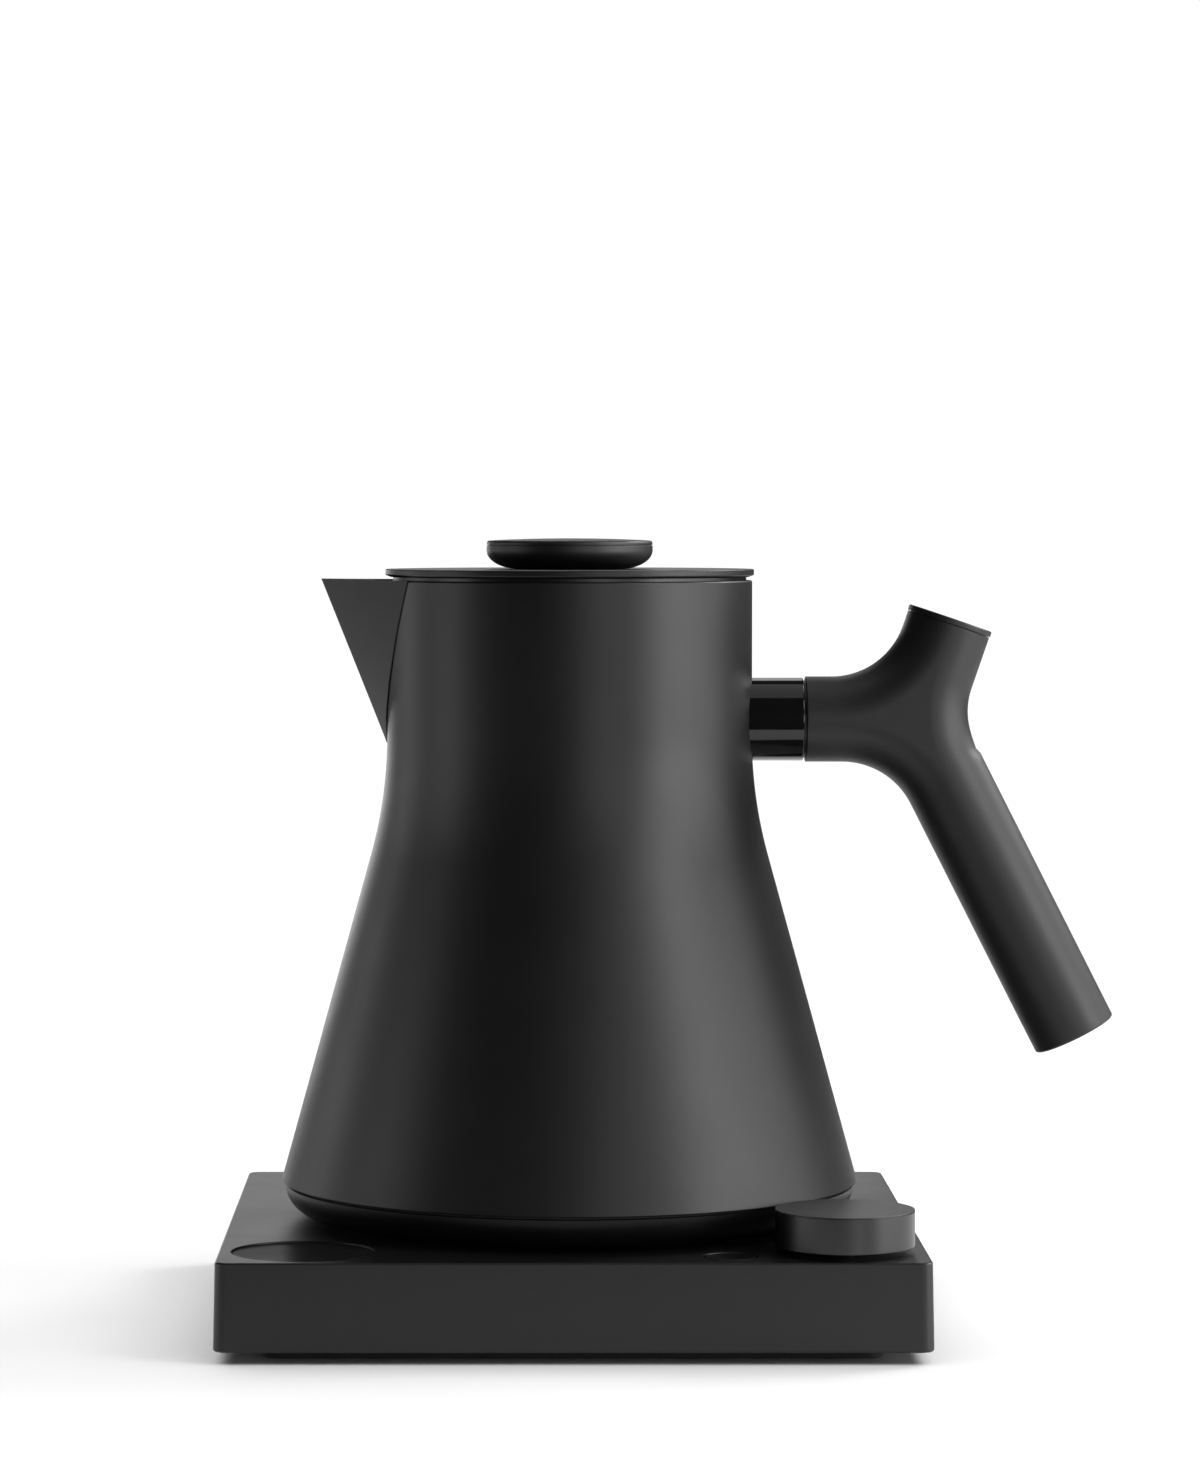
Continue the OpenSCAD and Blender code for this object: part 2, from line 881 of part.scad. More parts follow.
base_housing();
bottom_plate();
foot_ring();
base_screws();
cord_gland();
base_connector();
connector_contacts();
display_window();
display_module();
control_board();
power_board();
relay();
encoder_body();
button_switch();
encoder_plunger();
dial_body();
dial_cap();
dial_shaft();
menu_button();
kettle_socket();
socket_contacts();
body_shell();
spout();
floor_plate();
heat_spreader();
heating_element();
temperature_probe();
boil_dry_switch();
bottom_cup();
base_seal();
cup_screws();
handle_stud();
handle_collar();
handle_body();
counterweight();
handle_bolt();
handle_cap();
lid_disc();
lid_skirt();
lid_gasket();
lid_pull();
lid_pull_cap();
lid_screw();
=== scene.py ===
"""Cordless pour-over kettle on its power base: camera, studio, materials and finished meshes."""

import json
import math

import bmesh
import bpy
from mathutils import Matrix, Vector

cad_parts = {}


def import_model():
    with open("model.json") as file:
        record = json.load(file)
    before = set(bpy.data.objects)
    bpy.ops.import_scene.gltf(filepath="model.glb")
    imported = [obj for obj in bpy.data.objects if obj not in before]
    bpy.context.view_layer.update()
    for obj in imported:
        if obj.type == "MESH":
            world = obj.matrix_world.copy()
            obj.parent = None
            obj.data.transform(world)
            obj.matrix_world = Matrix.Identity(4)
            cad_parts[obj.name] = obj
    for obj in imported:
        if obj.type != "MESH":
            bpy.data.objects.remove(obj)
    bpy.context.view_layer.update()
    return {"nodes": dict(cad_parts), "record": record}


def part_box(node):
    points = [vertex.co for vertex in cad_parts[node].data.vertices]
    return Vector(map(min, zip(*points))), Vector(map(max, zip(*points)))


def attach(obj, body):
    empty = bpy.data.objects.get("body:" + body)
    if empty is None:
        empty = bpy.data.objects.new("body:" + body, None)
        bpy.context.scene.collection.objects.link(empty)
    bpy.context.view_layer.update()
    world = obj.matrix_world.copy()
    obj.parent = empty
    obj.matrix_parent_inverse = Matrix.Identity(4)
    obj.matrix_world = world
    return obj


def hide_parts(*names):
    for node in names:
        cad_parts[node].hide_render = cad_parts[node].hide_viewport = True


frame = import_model()

MM = 0.001
RECORD = frame["record"]
BODY_OF = {node: body for body, nodes in RECORD["behaviour"]["bodies"].items() for node in nodes}
SLOT_OF = {part["node"]: part["material_slot"] for part in RECORD["subparts"]}


# ---------------------------------------------------------------- sizes read from the frame, in mm

def low(node):
    """Lowest corner of a CAD node, in mm."""
    return [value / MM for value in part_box(node)[0]]


def high(node):
    """Highest corner of a CAD node, in mm."""
    return [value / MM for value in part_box(node)[1]]


def middle(node):
    """Centre of a CAD node's box in plan, in mm."""
    a, b = low(node), high(node)
    return ((a[0] + b[0]) / 2, (a[1] + b[1]) / 2)


def width(node, axis=0):
    """Extent of a CAD node along an axis, in mm."""
    return high(node)[axis] - low(node)[axis]


def round_box(node):
    """Bottom, top and radius of a CAD node that is round in plan, in mm."""
    return low(node)[2], high(node)[2], width(node) / 2


TOP_Z = high("base_housing")[2]
BASE_LIFT = low("base_housing")[2]
BASE_W = width("base_housing", 0)
BASE_D = width("base_housing", 1)
RIM_Z = high("body_shell")[2]
SEAM_Z = low("body_shell")[2]

# sizes that a box doesn't give, in mm
ROOF = 2.2                       # thickness of the housing's roof
WALL = 2.4                       # thickness of its walls
NECK_R = 45.9                    # outer radius of the straight neck
NECK_Z = 146.0                   # height where the neck starts to widen
BLEND_R = 114.0                  # radius of the curve from the neck to the cone
FLARE = math.radians(15.4)       # slope of the cone's side
SHEET = 0.9                      # thickness of the body's steel
SPOUT_Z = 143.4                  # height of the spout's foot
SPOUT_SPREAD = 30.0              # degrees round the neck from the fold to the joint, at the rim
HUB = Vector((87.2, 0, 149.8))   # where the handle's three arms meet
ARM_R = 10.75                    # radius of each arm
UPPER_LEAN = math.radians(18.9)  # upper arm, away from the vertical
GRIP_LEAN = math.radians(26.9)   # grip, away from the vertical
UPPER_LEN = 26.9                 # hub to the top of the upper arm's cap
GRIP_LEN = 89.2                  # hub to the end of the grip
CAP_T = 1.4                      # thickness of the upper arm's cap


# ---------------------------------------------------------------- mesh helpers

def add_object(name, verts, faces):
    """A mesh object from points in mm."""
    mesh = bpy.data.meshes.new(name)
    mesh.from_pydata([tuple(c * MM for c in v) for v in verts], [], faces)
    mesh.validate()
    mesh.update()
    obj = bpy.data.objects.new(name, mesh)
    bpy.context.scene.collection.objects.link(obj)
    return obj


def fillet(outline, closed, steps=5):
    """Rounds the corners of an outline of (r, z, radius) points and returns plain (r, z) points."""
    out = []
    count = len(outline)
    for i, (x, y, radius) in enumerate(outline):
        at_end = not closed and i in (0, count - 1)
        if radius <= 0 or at_end:
            out.append((x, y))
            continue
        here = Vector((x, y))
        before = Vector(outline[i - 1][:2]) - here
        after = Vector(outline[(i + 1) % count][:2]) - here
        half = before.angle(after) / 2
        reach = radius / math.tan(half)
        centre = here + (before.normalized() + after.normalized()).normalized() * radius / math.sin(half)
        start = here + before.normalized() * reach - centre
        turn = start.angle_signed(here + after.normalized() * reach - centre)
        for k in range(steps + 1):
            point = Matrix.Rotation(-turn * k / steps, 2) @ start + centre
            out.append((point.x, point.y))
    return out


def lathe(name, outline, centre=(0.0, 0.0), segments=160, closed=True):
    """Turns a section of (r, z) points about a vertical axis; points on the axis become poles.

    A closed section also joins its last point to its first.
    """
    on_axis = 1e-6
    verts, faces, rings = [], [], []
    for r, z in outline:
        if r < on_axis:
            rings.append([len(verts)])
            verts.append((centre[0], centre[1], z))
            continue
        rings.append(list(range(len(verts), len(verts) + segments)))
        for k in range(segments):
            a = 2 * math.pi * k / segments
            verts.append((centre[0] + r * math.cos(a), centre[1] + r * math.sin(a), z))
    pairs = list(zip(rings, rings[1:] + rings[:1])) if closed else list(zip(rings, rings[1:]))
    for lower, upper in pairs:
        if len(lower) == 1 and len(upper) == 1:
            continue
        for k in range(segments):
            n = (k + 1) % segments
            if len(lower) == 1:
                faces.append((lower[0], upper[n], upper[k]))
            elif len(upper) == 1:
                faces.append((lower[k], lower[n], upper[0]))
            else:
                faces.append((lower[k], lower[n], upper[n], upper[k]))
    obj = add_object(name, verts, faces)
    tidy_normals(obj)
    return obj


def drill(name, r, z0, z1, centre=(0.0, 0.0), segments=48):
    """Round cutter between two heights."""
    return lathe(name, [(0, z0), (r, z0), (r, z1), (0, z1)], centre, segments, closed=False)


def tidy_normals(obj):
    """Turns all faces outwards."""
    bm = bmesh.new()
    bm.from_mesh(obj.data)
    bmesh.ops.recalc_face_normals(bm, faces=bm.faces)
    bm.to_mesh(obj.data)
    bm.free()


def apply_modifiers(obj):
    """Turns what the modifiers make into the object's own mesh."""
    depsgraph = bpy.context.evaluated_depsgraph_get()
    mesh = bpy.data.meshes.new_from_object(obj.evaluated_get(depsgraph), depsgraph=depsgraph)
    obj.modifiers.clear()
    obj.data = mesh


def cut(obj, *tools):
    """Cuts the tools out of the object and removes them."""
    for tool in tools:
        modifier = obj.modifiers.new("cut", "BOOLEAN")
        modifier.operation = "DIFFERENCE"
        modifier.solver = "EXACT"
        modifier.object = tool
    apply_modifiers(obj)
    for tool in tools:
        bpy.data.objects.remove(tool, do_unlink=True)


def smooth(obj, degrees=32):
    """Smooth shading with flat faces kept flat and edges above this angle kept sharp."""
    obj.data.shade_smooth()
    obj.data.set_sharp_from_angle(angle=math.radians(degrees))
    modifier = obj.modifiers.new("face weights", "WEIGHTED_NORMAL")
    modifier.keep_sharp = True
    modifier.weight = 80


def piece(obj, node, *materials, degrees=32):
    """Finishes a piece that stands for a CAD node: shading, materials and body; the CAD node itself is
    hidden.
    """
    obj.data.materials.clear()
    for material in materials:
        obj.data.materials.append(material)
    smooth(obj, degrees)
    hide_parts(node)
    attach(obj, BODY_OF[node])


def turned(node, outline, material, centre=None, segments=160):
    """A turned piece in place of a CAD node, from a section whose corners carry their radius."""
    if centre is None:
        centre = middle(node)
    piece(lathe(node + "_turned", fillet(outline, True), centre, segments), node, material)


def softened(node, material, bevel):
    """A copy of a CAD node's mesh with its sharp edges rounded."""
    mesh = frame["nodes"][node].data.copy()
    obj = bpy.data.objects.new(node + "_softened", mesh)
    bpy.context.scene.collection.objects.link(obj)
    bm = bmesh.new()
    bm.from_mesh(mesh)
    bmesh.ops.remove_doubles(bm, verts=bm.verts, dist=1e-6)
    bmesh.ops.dissolve_limit(bm, angle_limit=math.radians(1), verts=bm.verts, edges=bm.edges)
    bm.to_mesh(mesh)
    bm.free()
    modifier = obj.modifiers.new("round edges", "BEVEL")
    modifier.width = bevel * MM
    modifier.segments = 2
    modifier.limit_method = "ANGLE"
    modifier.angle_limit = math.radians(35)
    modifier.use_clamp_overlap = True
    apply_modifiers(obj)
    piece(obj, node, material)


# ---------------------------------------------------------------- materials

NOISE_LOW, NOISE_HIGH = 0.3, 0.7     # most noise values lie between these
TINT_MM = 9.0                        # size of the faint clouds in a moulded surface's colour
GLOSS_MM = 14.0                      # size of the faint clouds in its gloss


def shader(name, color, roughness, metallic=0.0):
    """A material with its Principled node; the even values are set on the shader's own sockets."""
    material = bpy.data.materials.new(name)
    material.use_nodes = True
    bsdf = material.node_tree.nodes["Principled BSDF"]
    bsdf.inputs["Base Color"].default_value = (*color, 1.0)
    bsdf.inputs["Roughness"].default_value = roughness
    bsdf.inputs["Metallic"].default_value = metallic
    return material, material.node_tree, bsdf


def object_points(tree, stretch=(1, 1, 1)):
    """Object coordinates, stretched."""
    place = tree.nodes.new("ShaderNodeTexCoord")
    mapping = tree.nodes.new("ShaderNodeMapping")
    mapping.inputs["Scale"].default_value = stretch
    tree.links.new(place.outputs["Object"], mapping.inputs["Vector"])
    return mapping.outputs["Vector"]


def noise(tree, points, grain_mm, detail=2.0, rough=0.5):
    """Noise whose grains are this many millimetres across."""
    node = tree.nodes.new("ShaderNodeTexNoise")
    node.inputs["Scale"].default_value = 1000.0 / grain_mm
    node.inputs["Detail"].default_value = detail
    node.inputs["Roughness"].default_value = rough
    tree.links.new(points, node.inputs["Vector"])
    return node.outputs["Fac"]


def spread(tree, value, lowest, highest, start=NOISE_LOW, end=NOISE_HIGH):
    """Maps a noise value to a range."""
    node = tree.nodes.new("ShaderNodeMapRange")
    node.inputs["From Min"].default_value = start
    node.inputs["From Max"].default_value = end
    node.inputs["To Min"].default_value = lowest
    node.inputs["To Max"].default_value = highest
    tree.links.new(value, node.inputs["Value"])
    return node.outputs["Result"]


def tint(tree, value, dark, light):
    """Blends between two colours."""
    node = tree.nodes.new("ShaderNodeValToRGB")
    node.color_ramp.elements[0].position = NOISE_LOW
    node.color_ramp.elements[1].position = NOISE_HIGH
    node.color_ramp.elements[0].color = (*dark, 1)
    node.color_ramp.elements[1].color = (*light, 1)
    tree.links.new(value, node.inputs["Fac"])
    return node.outputs["Color"]


def bump(tree, bsdf, value, height_mm):
    """Raises the surface by this height, on top of any bump that is already there."""
    node = tree.nodes.new("ShaderNodeBump")
    node.inputs["Strength"].default_value = 1.0
    node.inputs["Distance"].default_value = height_mm * MM
    tree.links.new(value, node.inputs["Height"])
    if bsdf.inputs["Normal"].is_linked:
        tree.links.new(bsdf.inputs["Normal"].links[0].from_socket, node.inputs["Normal"])
    tree.links.new(node.outputs["Normal"], bsdf.inputs["Normal"])


def moulded(name, dark, light, roughness, grain_mm, height_mm, cloud=0.02, specular=0.5):
    """Coated or moulded surface: grain of this size and height, faint clouds in colour and gloss."""
    material, tree, bsdf = shader(name, light, roughness)
    bsdf.inputs["Specular IOR Level"].default_value = specular
    points = object_points(tree)
    tree.links.new(tint(tree, noise(tree, points, TINT_MM, 3.0), dark, light), bsdf.inputs["Base Color"])
    clouds = noise(tree, points, GLOSS_MM)
    tree.links.new(spread(tree, clouds, roughness - cloud, roughness + cloud), bsdf.inputs["Roughness"])
    coarse_mm, coarse_height_mm = grain_mm * 4, height_mm * 0.8
    bump(tree, bsdf, noise(tree, points, grain_mm, 3.0, 0.6), height_mm)
    bump(tree, bsdf, noise(tree, points, coarse_mm), coarse_height_mm)
    return material


def metal(name, dark, light, roughness, streaks=(1, 1, 30), grain_mm=0.8, height_mm=0.002):
    """Bare metal whose grain is squeezed along the stretched axis; an even stretch gives a cast skin."""
    material, tree, bsdf = shader(name, light, roughness, 1.0)
    points = object_points(tree, streaks)
    lines = noise(tree, points, grain_mm, 4.0, 0.6)
    smoother, rougher = 0.06, 0.08
    tree.links.new(tint(tree, lines, dark, light), bsdf.inputs["Base Color"])
    tree.links.new(spread(tree, lines, roughness - smoother, roughness + rougher), bsdf.inputs["Roughness"])
    bump(tree, bsdf, lines, height_mm)
    return material


def turned_metal(name, dark, light, roughness):
    """Metal with fine rings about the vertical axis, as a spun or drawn sheet has."""
    material, tree, bsdf = shader(name, light, roughness, 1.0)
    points = object_points(tree)
    blotch_mm, ring_height_mm = 6.0, 0.0012
    smoother, rougher = 0.05, 0.07
    wave = tree.nodes.new("ShaderNodeTexWave")
    wave.wave_type = "RINGS"
    wave.rings_direction = "Z"
    wave.inputs["Scale"].default_value = 95.493      # gives rings 3.3 mm apart
    wave.inputs["Distortion"].default_value = 0.6
    wave.inputs["Detail"].default_value = 3.0
    tree.links.new(points, wave.inputs["Vector"])
    tree.links.new(tint(tree, noise(tree, points, blotch_mm, 3.0), dark, light), bsdf.inputs["Base Color"])
    tree.links.new(spread(tree, wave.outputs["Fac"], roughness - smoother, roughness + rougher, 0, 1),
                   bsdf.inputs["Roughness"])
    bump(tree, bsdf, wave.outputs["Fac"], ring_height_mm)
    return material


def circuit_board(name):
    """Green laminate with faint tracks."""
    material, tree, bsdf = shader(name, (0.01, 0.09, 0.04), 0.35)
    brick = tree.nodes.new("ShaderNodeTexBrick")
    brick.inputs["Scale"].default_value = 180
    brick.inputs["Mortar Size"].default_value = 0.02
    brick.inputs["Color1"].default_value = (0.008, 0.075, 0.035, 1)
    brick.inputs["Color2"].default_value = (0.012, 0.1, 0.05, 1)
    brick.inputs["Mortar"].default_value = (0.03, 0.2, 0.1, 1)
    tree.links.new(object_points(tree), brick.inputs["Vector"])
    tree.links.new(brick.outputs["Color"], bsdf.inputs["Base Color"])
    bump(tree, bsdf, brick.outputs["Fac"], 0.02)
    return material


# coated and moulded: darker and lighter colour, roughness, grain and its height in mm, then for some
# the strength of the gloss clouds and the reflectivity
COAT = moulded("powder_coat", (0.0014, 0.0014, 0.0015), (0.002, 0.002, 0.0021), 0.45, 0.5, 0.011, 0.012)
HOUSING = moulded("housing_plastic", (0.0025, 0.0025, 0.0026), (0.0035, 0.0035, 0.0036),
                  0.41, 0.5, 0.010, 0.015, 0.45)
HANDLE = moulded("handle_plastic", (0.0015, 0.0015, 0.0016), (0.0022, 0.0022, 0.0023),
                 0.5, 0.5, 0.011, 0.015, 0.62)
CUP = moulded("cup", (0.002, 0.002, 0.0021), (0.003, 0.003, 0.0031), 0.42, 0.3, 0.005, 0.015, 0.22)
SKIRT = moulded("skirt", (0.006, 0.006, 0.0062), (0.009, 0.009, 0.0092), 0.38, 0.8, 0.002)
DIAL_TOP = moulded("dial_top", (0.004, 0.004, 0.0041), (0.006, 0.006, 0.0061), 0.45, 0.5, 0.035, 0.015, 0.9)
DIAL_SIDE = moulded("dial_side", (0.0022, 0.0022, 0.0023), (0.003, 0.003, 0.0031),
                    0.33, 0.5, 0.010, 0.015, 0.7)
DARK = moulded("dark_plastic", (0.007, 0.007, 0.0072), (0.009, 0.009, 0.0092), 0.45, 0.3, 0.006)
GLOSS = moulded("gloss_black", (0.004, 0.004, 0.0042), (0.005, 0.005, 0.0052), 0.07, 0.9, 0.0004)
WINDOW = moulded("window", (0.014, 0.014, 0.0145), (0.017, 0.017, 0.0175), 0.25, 0.9, 0.0003, 0.02, 0.002)
FOOT_RUBBER = moulded("foot_rubber", (0.012, 0.012, 0.012), (0.018, 0.018, 0.018), 0.75, 0.4, 0.02)
GASKET_RUBBER = moulded("gasket_rubber", (0.05, 0.05, 0.052), (0.06, 0.06, 0.062), 0.6, 0.4, 0.01)
SEAL_RUBBER = moulded("seal_rubber", (0.003, 0.003, 0.003), (0.004, 0.004, 0.004), 0.7, 0.4, 0.01)
RELAY = moulded("relay_plastic", (0.012, 0.03, 0.12), (0.016, 0.04, 0.15), 0.3, 0.5, 0.004)
WHITE = moulded("white_plastic", (0.6, 0.6, 0.58), (0.68, 0.68, 0.66), 0.4, 0.5, 0.004)

# bare metals: darker and lighter colour, roughness
STEEL = turned_metal("steel", (0.5, 0.5, 0.51), (0.6, 0.6, 0.61), 0.28)
ZINC = metal("zinc_steel", (0.42, 0.42, 0.44), (0.55, 0.55, 0.57), 0.3)
WEIGHT = metal("weight_steel", (0.2, 0.2, 0.21), (0.28, 0.28, 0.29), 0.4)
CAST = metal("spreader_aluminium", (0.6, 0.6, 0.61), (0.72, 0.72, 0.73), 0.45, (1, 1, 1), 0.5, 0.01)
BRASS = metal("contact_brass", (0.58, 0.4, 0.16), (0.72, 0.52, 0.24), 0.25)
BOARD = circuit_board("circuit_board")

MATERIAL_OF_SLOT = {
    "powder_coat": COAT, "housing_plastic": HOUSING, "handle_plastic": HANDLE, "dark_plastic": DARK,
    "gloss_black": GLOSS, "foot_rubber": FOOT_RUBBER, "gasket_rubber": GASKET_RUBBER,
    "seal_rubber": SEAL_RUBBER, "steel": STEEL, "zinc_steel": ZINC, "weight_steel": WEIGHT,
    "spreader_aluminium": CAST, "contact_brass": BRASS, "window": WINDOW, "circuit_board": BOARD,
    "relay_plastic": RELAY, "white_plastic": WHITE,
}


# ---------------------------------------------------------------- power base

def rounded_loop(w, d, r, z, steps=8):
    """Points round a rectangle with round corners, anticlockwise."""
    loop = []
    for quarter, (sx, sy) in enumerate(((1, 1), (-1, 1), (-1, -1), (1, -1))):
        for k in range(steps + 1):
            a = math.pi / 2 * (quarter + k / steps)
            loop.append((sx * (w / 2 - r) + r * math.cos(a), sy * (d / 2 - r) + r * math.sin(a), z))
    return loop


def lofted(name, loops, ring=False):
    """Solid through loops of equal length: flat ends, or for a ring the last loop joined to the first."""
    n = len(loops[0])
    starts = [level * n for level in range(len(loops))]
    faces = [] if ring else [tuple(range(n))[::-1]]
    for a, b in zip(starts, starts[1:] + starts[:1] if ring else starts[1:]):
        faces += [(a + k, a + (k + 1) % n, b + (k + 1) % n, b + k) for k in range(n)]
    if not ring:
        faces.append(tuple(range(starts[-1], starts[-1] + n)))
    obj = add_object(name, [p for loop in loops for p in loop], faces)
    tidy_normals(obj)
    return obj


def edge_arc(r, steps=5):
    """(inset, drop) pairs round a quarter circle, from the side to the top."""
    turns = [math.pi / 2 * k / steps for k in range(steps + 1)]
    return [(r * (1 - math.cos(a)), r * (1 - math.sin(a))) for a in turns]


def well(name, centre, r, floor_z, top_z, edge, steps=5):
    """Cutter for a round well whose upper edge comes out rounded."""
    outline = [(0, floor_z), (r, floor_z), (r, top_z - edge)]
    for k in range(1, steps + 1):
        a = math.pi / 2 * k / steps
        outline.append((r + edge * (1 - math.cos(a)), top_z - edge + edge * math.sin(a)))
    outline += [(r + edge, top_z + 1), (0, top_z + 1)]
    return lathe(name, outline, centre, 128, closed=False)


def base_housing():
    """Shallow housing with a slight draft, soft edges and its wells."""
    draft, corner, inner_corner = 0.4, 3.0, 1.2
    lower_edge, upper_edge = 0.7, 0.45
    loops = []
    for inset, drop in edge_arc(lower_edge)[::-1]:
        loops.append(rounded_loop(BASE_W - 2 * inset, BASE_D - 2 * inset, corner, BASE_LIFT + drop))
    for inset, drop in edge_arc(upper_edge):
        inset += draft
        loops.append(rounded_loop(BASE_W - 2 * inset, BASE_D - 2 * inset, corner - draft / 2, TOP_Z - drop))
    shell = lofted("base_housing_shell", loops)
    cut(shell, lofted("inner", [rounded_loop(BASE_W - 2 * WALL, BASE_D - 2 * WALL, inner_corner, z)
                                for z in (BASE_LIFT - 1, TOP_Z - ROOF)]))
    gland_r, gland_z, gland_len, gland_depth = 6, 11.8, 12, 8
    gland = drill("gland_cutter", gland_r, 0, gland_len, segments=64)
    gland.matrix_world = (Matrix.Translation((0, (BASE_D / 2 - gland_depth) * MM, gland_z * MM))
                          @ Matrix.Rotation(-math.pi / 2, 4, "X"))
    well_floor = TOP_Z - 4
    cut(shell,
        well("dial_well", middle("dial_body"), 4.6, well_floor, TOP_Z, 0.2),
        well("button_well", middle("menu_button"), 6.5, well_floor, TOP_Z, 0.2),
        well("display_well", middle("display_window"), 17.15, well_floor, TOP_Z, 0.25),
        well("connector_well", (0, 0), 15.9, well_floor, TOP_Z, 0.3),
        gland)
    piece(shell, "base_housing", HOUSING, degrees=30)


def screw_places():
    """Where the four base screws are, in plan."""
    x, y = 60.0, 58.0
    return [(-x, y), (x, y), (-x / 2, -y), (x / 2, -y)]


def bottom_plate():
    """Set-back foot with a flat flange above it and recessed screw holes."""
    w, d, corner = BASE_W - 2 * WALL - 0.1, BASE_D - 2 * WALL - 0.1, 1.2
    plinth_w, plinth_d, plinth_corner, plinth_edge = 150.0, 146.0, 5, 0.5
    foot_top = high("foot_ring")[2]
    flange, flange_top = BASE_LIFT + 0.2, BASE_LIFT + 2.2
    recess_r, recess_top = 3.3, 3.1
    loops = []
    for inset, drop in edge_arc(plinth_edge)[::-1]:
        loops.append(rounded_loop(plinth_w - 2 * inset, plinth_d - 2 * inset, plinth_corner, foot_top + drop))
    loops.append(rounded_loop(plinth_w, plinth_d, plinth_corner, flange))
    loops.append(rounded_loop(w, d, corner, flange))
    loops.append(rounded_loop(w, d, corner, flange_top))
    plate = lofted("bottom_plate_foot", loops)
    cut(plate, *[drill("screw_hole", recess_r, -1, recess_top, place) for place in screw_places()])
    piece(plate, "bottom_plate", DARK, degrees=30)


def foot_ring():
    """Rubber ring with soft edges and two fine grooves underneath."""
    top = high("foot_ring")[2]
    w, d = width("foot_ring", 0), width("foot_ring", 1)
    band, corner, edge = 7.0, 4.5, 0.35
    groove_w, groove_depth, groove_edge = 0.6, 0.3, 0.1
    section = [(0, 0, edge)]
    for x in (2.1, 4.3):
        section += [(x, 0, groove_edge), (x, groove_depth, 0)]
        section += [(x + groove_w, groove_depth, 0), (x + groove_w, 0, groove_edge)]
    section += [(band, 0, edge), (band, top, 0), (0, top, 0)]
    loops = [rounded_loop(w - 2 * x, d - 2 * x, corner - x * 0.2, z) for x, z in fillet(section, True, 3)]
    piece(lofted("foot_ring_grooved", loops, ring=True), "foot_ring", FOOT_RUBBER)


def display_window():
    """Dark window with a slightly raised edge."""
    z0, z1, r = round_box("display_window")
    edge_w, slope_w, sink = 1.1, 0.1, 0.05
    turned("display_window", [(0, z0, 0), (r, z0, 0), (r, z1, 0.25), (r - edge_w, z1, 0),
                              (r - edge_w - slope_w, z1 - sink, 0), (0, z1 - sink, 0)], WINDOW)


def menu_button():
    """Flush button with a shallow dish and a guide flange."""
    z0, z1, flange_r = round_box("menu_button")
    r, stem_r = 6.15, 2
    flange_z, flange_top = z0 + 1.8, z0 + 3
    lip, depth, rings, ring_w = 0.35, 0.55, 29, 0.2
    dish = [(r - lip - ring_w * k, z1 - depth * math.sin(math.pi / 2 * (k + 1) / rings) ** 0.7, 0)
            for k in range(rings)]
    turned("menu_button", [(0, z0, 0), (stem_r, z0, 0.3), (stem_r, flange_z, 0), (flange_r, flange_z, 0.2),
                           (flange_r, flange_top, 0.2), (r, flange_top, 0), (r, z1, 0.25), (r - 0.3, z1, 0)]
           + dish + [(0, z1 - depth, 0)], HOUSING)


def dial():
    """Dial: satin side, a fine gap round its top edge, and a thin grained cap."""
    z0, z1, r = round_box("dial_body")
    top = high("dial_cap")[2]
    bore_r, hub_r, wall = 3.05, 6, 2
    hub_z, web_z = z0 + 1.6, z0 + 5
    rim_z, rim_w, gap = top - 0.37, 0.35, 0.2
    step_r = r - rim_w
    turned("dial_body", [(bore_r, hub_z, 0), (hub_r, hub_z, 0.2), (hub_r, z0, 0.2), (hub_r + 0.2, z0, 0),
                         (hub_r + 0.2, web_z, 0), (r - wall, web_z, 0.5), (r - wall, z0, 0.2), (r, z0, 0.35),
                         (r, rim_z, 0.04), (step_r, rim_z, 0), (step_r, z1, 0), (bore_r, z1, 0)], DIAL_SIDE)
    cap_r, core_r, core_z = r - 0.03, step_r - 0.05, z1 + 0.02
    turned("dial_cap", [(0, core_z, 0), (core_r, core_z, 0), (core_r, rim_z + gap, 0),
                        (cap_r, rim_z + gap, 0.02), (cap_r, top, 0.06), (0, top, 0)], DIAL_TOP)


def connector():
    """Round connector: a flange under the roof, a boss with a ring groove, and a necked spigot."""
    z0, spigot_top = low("base_connector")[2], high("base_connector")[2]
    boss_top = TOP_Z + 3
    flange_top, groove_z = z0 + 5, boss_top - 1
    neck_z, neck_top = boss_top + 1, boss_top + 4
    bore_r, neck_r, spigot_r, boss_r, flange_r = 2.6, 7.5, 8, 15.8, 19.8
    groove_in, groove_out = 11, 12.5
    outline = [(bore_r, z0, 0), (flange_r, z0, 0), (flange_r, flange_top, 0), (boss_r, flange_top, 0),
               (boss_r, boss_top, 0.8), (groove_out, boss_top, 0), (groove_out, groove_z, 0),
               (groove_in, groove_z, 0), (groove_in, boss_top, 0), (spigot_r, boss_top, 0.3),
               (spigot_r, neck_z, 0), (neck_r, neck_z, 0), (neck_r, neck_top, 0), (spigot_r, neck_top, 0),
               (spigot_r, spigot_top, 0.8), (bore_r, spigot_top, 0.5)]
    turned("base_connector", outline, DARK)


